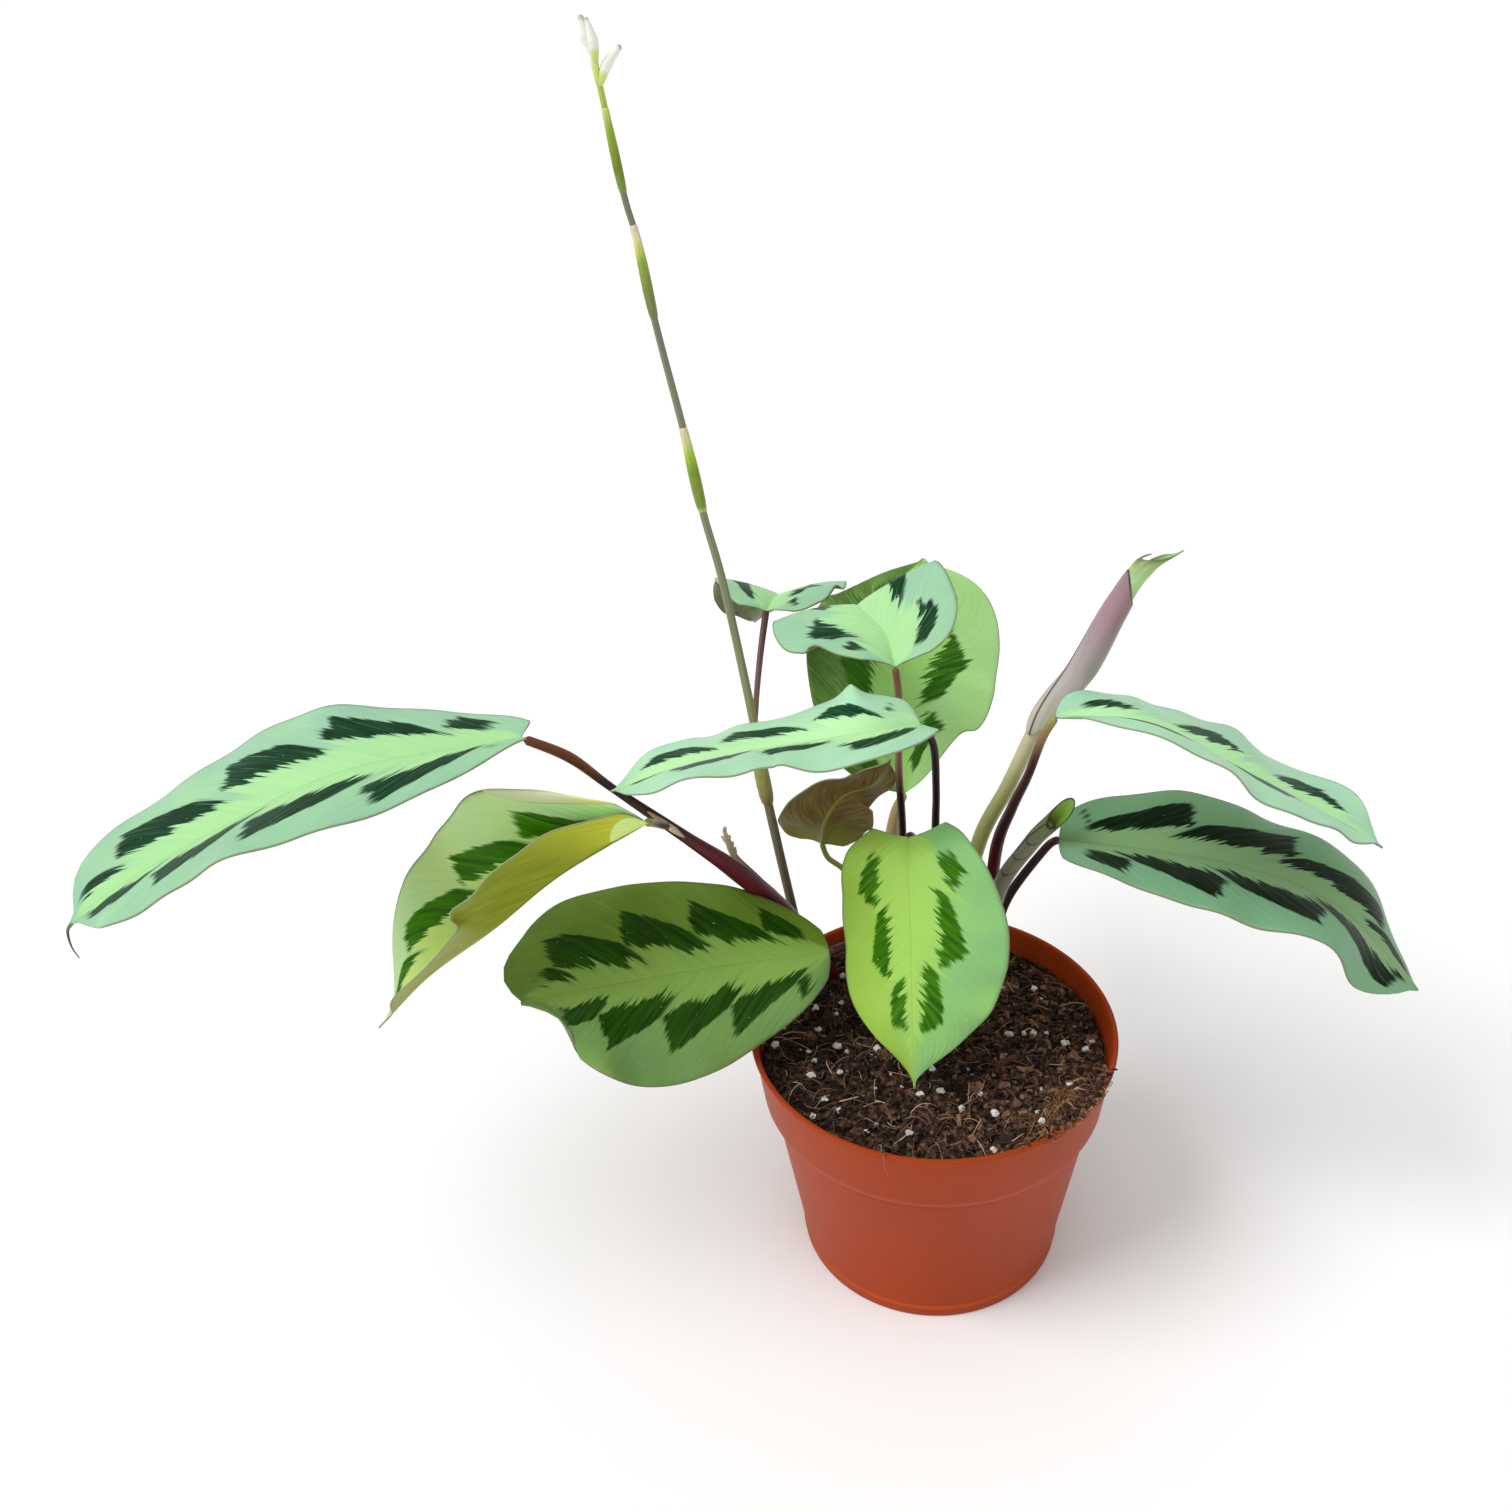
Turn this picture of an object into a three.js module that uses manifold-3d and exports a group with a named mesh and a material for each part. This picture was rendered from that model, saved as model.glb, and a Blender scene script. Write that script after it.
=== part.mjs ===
// A potted prayer plant: a thin moulded nursery pot full of potting mix, and a young
// Maranta growing in it, with its leaves, leaf stalks, two leaves that are still rolled
// up, a tall flower stalk and a small dried one.
//
// Millimetres, +Z up. The origin is the middle of the pot's foot, on the surface that the
// pot stands on. The front of the plant is towards -Y.

import * as THREE from 'three';
import Module from 'manifold-3d';
import { mergeVertices } from 'three/addons/utils/BufferGeometryUtils.js';

const wasm = await Module();
wasm.setup();

// ---- Driving dimensions ------------------------------------------------------------

const RIM_RADIUS = 60; // a 12 cm nursery pot
const POT_HEIGHT = 90;
const FOOT_RADIUS = 44.5;
const BAND_BOTTOM = 66; // the ledge under the rim band
const BODY_TOP_RADIUS = 54.2; // just below the ledge
const BAND_BOTTOM_RADIUS = 56.4;
const WALL = 1.3;
const FLOOR_TOP = 3.6;
const FLOOR_RECESS = 1.8; // how far the floor stands above the surface
const HUB_RADIUS = 12; // the flat boss in the middle of the floor
const DRAIN_HOLES = 8;
const DRAIN_HOLE_RADIUS = 4;
const DRAIN_RING_RADIUS = 28;
const POT_SIDES = 44;

const GAP = 0.3; // air between two pieces that touch
const SOIL_TOP = 82;
const SOIL_RINGS = 6;

const BLADE_THICKNESS = 0.7;
const BLADE_ARCH = 25; // degrees that each half of a blade curves over, rib to margin
const BLADE_ROWS = 14;
const BLADE_COLUMNS = 6;
const BASE_HALF_WIDTH = 1; // where a blade meets its stalk
const TIP_HALF_WIDTH = 0.3;
const USUAL_TAPER = 2.2; // the power that sets how blunt a blade's tip is

const STEM_SIDES = 7;
const ROOTED = 76; // stems end this high, inside the potting mix

// Each blade: the line of its midrib from base to tip, which way its upper face looks,
// its half width, where along the rib it is widest, how round its base is, how blunt its
// tip is where that isn't the usual, how far the heart-shaped lobes reach back, and how
// steeply each half is lifted above the rib, in degrees at five stations from base to tip.
const BLADES = {
  far_left: {
    rib: [[-119, -16, 208], [-169, -27, 203], [-211, -35, 185], [-239, -46, 172], [-251, -54, 165]],
    faces: [0, -0.2, 1],
    halfWidth: 32,
    widest: 0.64,
    roundness: 0.44,
    taper: 3.8,
    lobe: 3,
    left: [40, 3, 18, 22, 15],
    right: [-15, -5, 8, -6, 5],
  },
  left_folded: {
    rib: [[-86, -11, 176], [-114, -16, 159], [-135, -23, 143], [-154, -35, 133], [-171, -40, 116]],
    faces: [-0.3, -0.2, 1],
    halfWidth: 36,
    widest: 0.36,
    roundness: 0.48,
    lobe: 2,
    left: [65, 55, 55, 45, 25],
    right: [110, 80, 40, 55, -15],
  },
  front_left: {
    rib: [[-33, -3, 122], [-67, -11, 121], [-99, -19, 119], [-119, -29, 121], [-125, -37, 125]],
    faces: [0, -0.7, 0.7],
    halfWidth: 35,
    widest: 0.62,
    roundness: 0.6,
    taper: 4,
    lobe: 2,
    left: [-15, -20, 0, 28, 40],
    right: [-30, -20, -20, -20, -40],
  },
  mid_left: {
    rib: [[-5, 13, 197], [-22, 3, 200], [-47, 3, 195], [-73, -3, 192], [-97, -7, 184]],
    faces: [0, 0, 1],
    halfWidth: 26,
    widest: 0.65,
    roundness: 0.4,
    lobe: 3,
    left: [20, 5, 20, 20, 15],
    right: [25, 10, -15, -20, 40],
  },
  front: {
    rib: [[-8, 0, 166], [-8, -15, 167], [-6, -22, 147], [-6, -29, 122], [-5, -34, 94]],
    faces: [0.1, -0.9, 0.4],
    halfWidth: 29,
    widest: 0.37,
    roundness: 0.42,
    lobe: 7,
    left: [40, 15, 5, 0, 15],
    right: [5, -50, -50, -35, -35],
  },
  right_lower: {
    rib: [[39, 21, 151], [67, 19, 149], [94, 13, 148], [121, 4, 141], [145, -11, 121]],
    faces: [0.1, -0.4, 0.9],
    halfWidth: 29,
    widest: 0.65,
    roundness: 0.46,
    lobe: 3,
    left: [-5, 0, -20, -25, -50],
    right: [25, 25, 20, 35, 0],
  },
  right_upper: {
    rib: [[34, 4, 206], [59, 3, 205], [83, 4, 192], [108, 6, 176], [132, 6, 161]],
    faces: [0.2, 0, 1],
    halfWidth: 25,
    widest: 0.58,
    roundness: 0.52,
    lobe: 1,
    left: [20, -15, 0, -5, 35],
    right: [25, 20, 10, 15, 25],
  },
  upper_middle: {
    rib: [[-13, 26, 210], [-17, 46, 211], [-26, 62, 212], [-25, 80, 202], [-19, 95, 186]],
    faces: [0, 0, 1],
    halfWidth: 29,
    widest: 0.48,
    roundness: 0.46,
    lobe: 3,
    left: [20, -5, -15, -10, -10],
    right: [15, 25, 25, 20, 10],
  },
  upper_left: {
    rib: [[-58, 77, 203], [-57, 91, 201], [-56, 103, 196], [-60, 113, 187], [-68, 119, 177]],
    faces: [0, 0, 1],
    halfWidth: 24,
    widest: 0.48,
    roundness: 0.44,
    lobe: 3,
    left: [20, 15, 5, 5, 5],
    right: [0, 10, 10, -10, -5],
  },
  back_upright: {
    rib: [[-11, 72, 134], [-18, 90, 147], [-17, 108, 164], [-4, 125, 180], [-5, 127, 194]],
    faces: [0, -0.9, 0.4],
    halfWidth: 35,
    widest: 0.65,
    roundness: 0.44,
    lobe: 2,
    left: [25, 25, 10, -15, -25],
    right: [25, -5, -15, -25, -40],
  },
  low_back: {
    rib: [[-39, 48, 128], [-37, 45, 140], [-31, 46, 149], [-21, 46, 154], [-15, 46, 164]],
    faces: [0, 1, 0.2],
    halfWidth: 18,
    widest: 0.41,
    roundness: 0.43,
    lobe: 2,
    left: [-5, 10, 20, 30, 30],
    right: [15, -15, -30, -20, -5],
  },
};

// Each stem: the points that it passes through, from the potting mix up, and its radius
// at each of them.
const STEMS = {
  petiole_far_left: {
    through: [[-33, 35, ROOTED], [-41, 29, 96], [-50, 23, 117], [-64, 13, 141], [-77, 6, 158],
      [-99, 5, 177], [-109, -4, 194], [-119, -16, 208]],
    radii: [1.8, 2, 2.2, 2.5, 2.2, 1.3, 1.9, 1.5],
  },
  petiole_left_folded: {
    through: [[-77, 1, 157], [-82, -5, 167], [-86, -11, 176]],
    radii: [1.1, 1.2, 1.3],
  },
  petiole_front_left: {
    through: [[-14, 24, ROOTED], [-15, 20, 97], [-22, 8, 117], [-33, -3, 122]],
    radii: [1.5, 1.5, 1.4, 1.3],
  },
  petiole_mid_left: {
    through: [[0, 34, ROOTED], [0, 35, 112], [0, 29, 151], [0, 22, 168], [-1, 16, 188], [-5, 13, 197]],
    radii: [1.6, 1.5, 1.3, 1.2, 1.2, 1.2],
  },
  petiole_front: {
    through: [[-6, 20, ROOTED], [-6, 24, 110], [-6, 22, 145], [-7, 12, 163], [-8, 0, 166]],
    radii: [1.5, 1.5, 1.3, 1.2, 1.2],
  },
  petiole_right_lower: {
    through: [[19, 27, ROOTED], [21, 27, 105], [24, 26, 123], [35, 25, 144], [39, 21, 151]],
    radii: [1.8, 1.7, 1.6, 1.4, 1.3],
  },
  petiole_right_upper: {
    through: [[13, 34, ROOTED], [18, 34, 105], [20, 33, 138], [24, 26, 159], [28, 19, 176], [31, 10, 195],
      [34, 4, 206]],
    radii: [2.2, 2.2, 2.1, 1.7, 1.4, 1.3, 1.2],
  },
  petiole_upper_middle: {
    through: [[-9, 40, ROOTED], [-11, 42, 115], [-11, 40, 141], [-12, 34, 168], [-12, 30, 196],
      [-13, 26, 210]],
    radii: [1.6, 1.5, 1.3, 1.2, 1.3, 1.2],
  },
  petiole_upper_left: {
    through: [[-61, 53, 170], [-60, 58, 183], [-59, 66, 194], [-58, 77, 203]],
    radii: [1, 1, 1.1, 1.2],
  },
  petiole_back_upright: {
    through: [[-16, 48, ROOTED], [-16, 53, 93], [-16, 63, 114], [-14, 69, 127], [-11, 72, 134]],
    radii: [1.8, 2, 2.6, 2.2, 1.3],
  },
  petiole_low_back: {
    through: [[-22, 38, ROOTED], [-24, 42, 98], [-30, 47, 115], [-37, 49, 121], [-39, 48, 128]],
    radii: [1.2, 1.1, 1, 1, 1],
  },
  rolled_leaf_tall: {
    through: [[6, 42, ROOTED], [10, 41, 108], [15, 38, 139], [23, 33, 163], [32, 26, 193], [43, 24, 212],
      [50, 21, 232], [56, 19, 246], [66, 18, 252]],
    radii: [2.4, 2.5, 2.6, 2.7, 3, 4.5, 4.1, 3.4, 0.4],
  },
  rolled_leaf_small: {
    through: [[17, 18, ROOTED], [18, 18, 105], [22, 20, 131], [33, 20, 150], [38, 20, 160], [43, 20, 167]],
    radii: [2, 2.2, 2.5, 2.9, 2.9, 2.2],
  },
  flower_stalk: {
    through: [[-42, 33, ROOTED], [-48, 34, 107], [-58, 44, 158], [-60, 49, 172], [-69, 60, 219],
      [-75, 65, 243], [-80, 69, 269], [-87, 74, 301], [-91, 77, 325], [-94, 78, 338], [-98, 80, 364],
      [-99, 80, 370]],
    radii: [1.4, 1.5, 1.5, 1.3, 1.1, 0.9, 0.8, 0.7, 0.7, 0.7, 0.6, 0.6],
  },
  flower_bud_tall: {
    through: [[-99.2, 80, 371.2], [-99.6, 80, 376], [-100, 80, 381], [-100, 80, 386]],
    radii: [0.6, 1.3, 1.6, 0.5],
  },
  flower_bud_short: {
    through: [[-97.2, 80, 370.6], [-95, 80, 373], [-92, 80, 377]],
    radii: [0.5, 1.1, 0.4],
  },
  dried_flower_spike: {
    through: [[-45, 22, ROOTED], [-47, 25, 97], [-49, 30, 111], [-66, 22, 137], [-67, 22, 143], [-69, 22, 149]],
    radii: [0.8, 0.8, 0.8, 0.8, 1.6, 0.5],
  },
};

// The green bracts that sheathe the flower stalk: the heights they start and end at, and
// their largest radius.
const BRACTS = {
  bract_at_leaf: [148, 171, 2.6],
  bract_lower: [243, 270, 1.7],
  bract_middle: [301, 326, 1.6],
  bract_upper: [338, 364, 1.6],
};

const COLOURS = {
  pot: 0xa8492c,
  potting_mix: 0x2b1d15,
  blade: 0x79b482,
  young_blade: 0x83b84a,
  deep_blade: 0x4d7a35,
  underside: 0x6b5637,
  brown_stem: 0x46282a,
  green_stem: 0x9ea06a,
  pale_stem: 0xb9bd8a,
  bract: 0x7d9a3c,
  bud: 0xdfe3cf,
  dried: 0x6e6157,
};

// ---- Helpers -----------------------------------------------------------------------

const group = new THREE.Group();

const lerp = THREE.MathUtils.lerp;
const radians = THREE.MathUtils.degToRad;

function curveThrough(points) {
  return new THREE.CatmullRomCurve3(points.map((p) => new THREE.Vector3(...p)), false, 'catmullrom');
}

// A number read off a short list of evenly spaced values.
function along(values, s) {
  const place = THREE.MathUtils.clamp(s, 0, 1) * (values.length - 1);
  const before = Math.min(Math.floor(place), values.length - 2);
  return lerp(values[before], values[before + 1], place - before);
}

// Moves every vertex of a closed box or cylinder, which stays closed.
function reshape(geometry, move) {
  const position = geometry.attributes.position;
  const point = new THREE.Vector3();
  for (let i = 0; i < position.count; i += 1) {
    point.fromBufferAttribute(position, i);
    move(point);
    position.setXYZ(i, point.x, point.y, point.z);
  }
  return geometry;
}

function welded(geometry) {
  const bare = geometry.clone();
  bare.deleteAttribute('normal');
  bare.deleteAttribute('uv');
  return mergeVertices(bare, 1e-4);
}

function toSolid(geometry) {
  const closed = welded(geometry);
  return new wasm.Manifold(new wasm.Mesh({
    numProp: 3,
    vertProperties: new Float32Array(closed.attributes.position.array),
    triVerts: new Uint32Array(closed.index.array),
  }));
}

function toGeometry(solid) {
  const mesh = solid.getMesh();
  const geometry = new THREE.BufferGeometry();
  geometry.setAttribute('position', new THREE.BufferAttribute(mesh.vertProperties, 3));
  geometry.setIndex(new THREE.BufferAttribute(mesh.triVerts, 1));
  geometry.computeVertexNormals();
  return geometry;
}

function addPiece(name, geometry, color, roughness = 0.6) {
  const material = new THREE.MeshStandardMaterial({ color, roughness, metalness: 0 });
  const mesh = new THREE.Mesh(geometry, material);
  mesh.name = name;
  group.add(mesh);
}

// ---- Stems -------------------------------------------------------------------------

// A round solid that follows a curve from one fraction of its length to another.
function sweep(curve, from, to, radiusAt, rows) {
  const frames = curve.computeFrenetFrames(rows, false);
  const tube = new THREE.CylinderGeometry(1, 1, 1, STEM_SIDES, rows);
  return reshape(tube, (point) => {
    const row = Math.round((point.y + 0.5) * rows);
    const s = lerp(from, to, row / rows);
    const middle = curve.getPointAt(s);
    const frame = Math.min(Math.round(s * rows), rows);
    const out = frames.normals[frame];
    const across = new THREE.Vector3().crossVectors(out, frames.tangents[frame]);
    const radius = radiusAt(s);
    const x = point.x * radius;
    const z = point.z * radius;
    point.copy(middle).addScaledVector(out, x).addScaledVector(across, z);
  });
}

// The radii are given at the stem's points, so they are read by the points' places along it.
function stemRadius({ through, radii }) {
  const points = through.map((p) => new THREE.Vector3(...p));
  const places = [0];
  for (let i = 1; i < points.length; i += 1) {
    places.push(places[i - 1] + points[i].distanceTo(points[i - 1]));
  }
  const length = places[places.length - 1];
  return (s) => {
    const place = s * length;
    let i = 1;
    while (i < places.length - 1 && places[i] < place) {
      i += 1;
    }
    return lerp(radii[i - 1], radii[i], (place - places[i - 1]) / (places[i] - places[i - 1]));
  };
}

const ROW_SPACING = 11;

function stemRows(curve) {
  return Math.max(5, Math.round(curve.getLength() / ROW_SPACING));
}

// A stem stops just short of the blade or bud that it carries.
function makeStem(stem) {
  const curve = curveThrough(stem.through);
  const shy = 1 / curve.getLength();
  return sweep(curve, shy, 1 - shy, stemRadius(stem), stemRows(curve));
}

// The room that a stem takes, with air round it.
function stemSocket(stem) {
  const curve = curveThrough(stem.through);
  const radiusAt = stemRadius(stem);
  return toSolid(sweep(curve, 0, 1, (s) => radiusAt(s) + GAP, stemRows(curve)));
}

// ---- Blades ------------------------------------------------------------------------

function outline(s, { widest, roundness, taper = USUAL_TAPER }) {
  if (s < widest) {
    return (1 - (1 - s / widest) ** 2) ** roundness;
  }
  const left = (1 - s) / (1 - widest);
  return (1 - (1 - left) ** taper) * (1 - Math.exp(-((left / 0.2) ** 1.5)));
}

// One half of a blade is an arc in cross-section: it leaves the rib at an angle, and
// curves over towards the margin. v runs from -1 at the left margin to 1 at the right.
function makeBlade(blade) {
  const curve = curveThrough(blade.rib);
  const up = new THREE.Vector3(...blade.faces);
  const arch = radians(BLADE_ARCH);
  const sheet = new THREE.BoxGeometry(1, 1, 1, BLADE_ROWS, BLADE_COLUMNS, 1);
  return reshape(sheet, (point) => {
    const s = (point.x + 0.5) ** 1.4; // rows crowd towards the base
    const v = -2 * point.y;
    const u = Math.abs(v);
    const tangent = curve.getTangentAt(s);
    const side = new THREE.Vector3().crossVectors(tangent, up).normalize();
    const normal = new THREE.Vector3().crossVectors(side, tangent);
    if (v < 0) {
      side.negate();
    }
    const width = Math.max(outline(s, blade) * blade.halfWidth, lerp(BASE_HALF_WIDTH, TIP_HALF_WIDTH, s));
    const start = radians(along(v < 0 ? blade.left : blade.right, s)) + arch / 2;
    const end = start - arch * u;
    const outward = width * (Math.sin(start) - Math.sin(end)) / arch;
    const upward = width * (Math.cos(end) - Math.cos(start)) / arch;
    const back = blade.lobe * u * u * Math.min(1, s / 0.03) * Math.max(0, 1 - s / 0.35) ** 1.5;
    const half = point.z * BLADE_THICKNESS;
    const lean = u > 0 ? end : 0;
    point.copy(curve.getPointAt(s))
      .addScaledVector(side, outward - half * Math.sin(lean))
      .addScaledVector(normal, upward + half * Math.cos(lean))
      .addScaledVector(tangent, -back);
  });
}

// ---- The pot and the potting mix ---------------------------------------------------

function lathe(profile) {
  const points = profile.map(([radius, height]) => new THREE.Vector2(radius, height));
  return new THREE.LatheGeometry(points, POT_SIDES).rotateX(Math.PI / 2);
}

function makePot() {
  const lip = POT_HEIGHT - 1.6;
  const shell = lathe([
    [0, 0],
    [HUB_RADIUS, 0],
    [HUB_RADIUS + 1, FLOOR_RECESS],
    [FOOT_RADIUS - 4, FLOOR_RECESS],
    [FOOT_RADIUS - 3, 0],
    [FOOT_RADIUS, 0],
    [FOOT_RADIUS + 0.6, 3.4],
    [BODY_TOP_RADIUS, BAND_BOTTOM - 1],
    [BAND_BOTTOM_RADIUS, BAND_BOTTOM + 1],
    [RIM_RADIUS - 1, lip - 0.6],
    [RIM_RADIUS, lip],
    [RIM_RADIUS, POT_HEIGHT],
    [RIM_RADIUS - 1.5, POT_HEIGHT],
    [RIM_RADIUS - 1 - WALL, lip - 0.6],
    [BAND_BOTTOM_RADIUS - WALL, BAND_BOTTOM + 1.4],
    [BODY_TOP_RADIUS - WALL, BAND_BOTTOM - 0.6],
    [FOOT_RADIUS + 0.6 - WALL, FLOOR_TOP + 1],
    [FOOT_RADIUS - 1 - WALL, FLOOR_TOP],
    [0, FLOOR_TOP],
  ]);
  let pot = toSolid(shell);
  for (let i = 0; i < DRAIN_HOLES; i += 1) {
    const angle = ((i + 0.5) / DRAIN_HOLES) * 2 * Math.PI;
    const drill = new THREE.CylinderGeometry(DRAIN_HOLE_RADIUS, DRAIN_HOLE_RADIUS, 10, 12)
      .rotateX(Math.PI / 2)
      .translate(DRAIN_RING_RADIUS * Math.cos(angle), DRAIN_RING_RADIUS * Math.sin(angle), FLOOR_TOP);
    pot = pot.subtract(toSolid(drill));
  }
  return toGeometry(pot);
}

// The mix is heaped towards the front right, and lower at the back.
function soilHeight(x, y) {
  const heap = 3.5 * Math.exp(-((x - 30) ** 2 + (y + 25) ** 2) / 900);
  const hollow = 2.5 * Math.exp(-((x - 25) ** 2 + (y - 30) ** 2) / 500);
  return SOIL_TOP + heap - hollow + 0.5 * Math.sin(x / 5) * Math.cos(y / 6);
}

function makePottingMix() {
  const wallAtTop = RIM_RADIUS - 2.2 - WALL;
  const rings = Array.from({ length: SOIL_RINGS }, (_, i) => [wallAtTop * (1 - i / SOIL_RINGS), SOIL_TOP]);
  const mix = lathe([
    [0, FLOOR_TOP + GAP],
    [FOOT_RADIUS - 1.5 - WALL, FLOOR_TOP + GAP],
    [FOOT_RADIUS + 0.2 - WALL, FLOOR_TOP + 1.5],
    [BODY_TOP_RADIUS - WALL - GAP, BAND_BOTTOM - 0.5],
    [BAND_BOTTOM_RADIUS - WALL - GAP, BAND_BOTTOM + 1.8],
    ...rings,
    [0, SOIL_TOP],
  ]);
  reshape(mix, (point) => {
    if (point.z > SOIL_TOP - 1) {
      point.z = soilHeight(point.x, point.y);
    }
  });
  let solid = toSolid(mix);
  for (const stem of Object.values(STEMS)) {
    if (stem.through[0][2] === ROOTED) {
      solid = solid.subtract(stemSocket(stem));
    }
  }
  return toGeometry(solid);
}

// ---- The flower stalk's bracts -----------------------------------------------------

// The fraction of the curve's length at which it reaches a height.
function placeAtHeight(curve, height) {
  let low = 0;
  let high = 1;
  while (high - low > 1e-5) {
    const middle = (low + high) / 2;
    if (curve.getPointAt(middle).z < height) {
      low = middle;
    } else {
      high = middle;
    }
  }
  return low;
}

function makeBract([bottom, top, radius]) {
  const curve = curveThrough(STEMS.flower_stalk.through);
  const from = placeAtHeight(curve, bottom);
  const to = placeAtHeight(curve, top);
  const thin = STEMS.flower_stalk.radii.at(-1) + 2 * GAP;
  const swell = (s) => lerp(thin, radius, Math.max(0, Math.sin(Math.PI * (s - from) / (to - from))) ** 0.6);
  const sleeve = toSolid(sweep(curve, from, to, swell, 8));
  return toGeometry(sleeve.subtract(stemSocket(STEMS.flower_stalk)));
}

// ---- The whole plant ---------------------------------------------------------------

addPiece('pot', makePot(), COLOURS.pot, 0.45);
addPiece('potting_mix', makePottingMix(), COLOURS.potting_mix, 0.95);

const BLADE_COLOURS = {
  left_folded: COLOURS.young_blade,
  front: COLOURS.young_blade,
  back_upright: COLOURS.young_blade,
  front_left: COLOURS.deep_blade,
  right_lower: COLOURS.deep_blade,
  low_back: COLOURS.underside,
};

for (const [name, blade] of Object.entries(BLADES)) {
  addPiece(`leaf_${name}`, makeBlade(blade), BLADE_COLOURS[name] ?? COLOURS.blade, 0.5);
}

const STEM_COLOURS = {
  rolled_leaf_tall: COLOURS.pale_stem,
  rolled_leaf_small: COLOURS.pale_stem,
  flower_stalk: COLOURS.green_stem,
  flower_bud_tall: COLOURS.bud,
  flower_bud_short: COLOURS.bud,
  dried_flower_spike: COLOURS.dried,
};

for (const [name, stem] of Object.entries(STEMS)) {
  addPiece(name, makeStem(stem), STEM_COLOURS[name] ?? COLOURS.brown_stem, 0.55);
}

for (const [name, bract] of Object.entries(BRACTS)) {
  addPiece(name, makeBract(bract), COLOURS.bract, 0.5);
}

export default group;
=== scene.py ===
# %% [markdown]
# # A potted prayer plant
#
# This notebook dresses a prayer plant in a 12 cm nursery pot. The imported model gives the
# frame: its origin is the middle of the pot's foot, +Z is up and the plant's front looks
# towards -Y. Each cell first says what it makes, how it could be made, and why this way.

# %% Setup
import math

import bpy
import numpy as np
from mathutils import Matrix, Vector, noise


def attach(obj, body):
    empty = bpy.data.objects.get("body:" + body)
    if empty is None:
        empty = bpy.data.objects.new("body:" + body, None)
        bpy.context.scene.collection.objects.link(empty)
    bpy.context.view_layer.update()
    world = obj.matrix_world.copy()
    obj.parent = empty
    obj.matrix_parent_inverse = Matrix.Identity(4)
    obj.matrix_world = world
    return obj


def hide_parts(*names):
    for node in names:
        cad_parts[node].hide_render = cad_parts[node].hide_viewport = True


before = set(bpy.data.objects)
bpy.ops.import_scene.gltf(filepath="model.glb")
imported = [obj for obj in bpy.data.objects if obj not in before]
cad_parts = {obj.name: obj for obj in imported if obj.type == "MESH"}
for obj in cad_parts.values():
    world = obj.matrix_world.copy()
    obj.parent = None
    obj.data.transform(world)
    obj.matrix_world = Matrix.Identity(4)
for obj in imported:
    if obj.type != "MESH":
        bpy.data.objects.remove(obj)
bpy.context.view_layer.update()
MM = 0.001
dice = np.random.default_rng(11)

# %% [markdown]
# ## Colours and materials
#
# Colours are written the way a paint chart gives them, 0 to 255, and turned into the
# linear values that the renderer wants. A material could be wired by hand in the node
# editor; a small helper that adds a node per call keeps so many of them readable.

# %% A helper for node materials
def paint(red, green, blue):
    chart = np.array([red, green, blue]) / 255
    linear = np.where(chart <= 0.04045, chart / 12.92, ((chart + 0.055) / 1.055) ** 2.4)
    return (*map(float, linear), 1.0)


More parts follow.
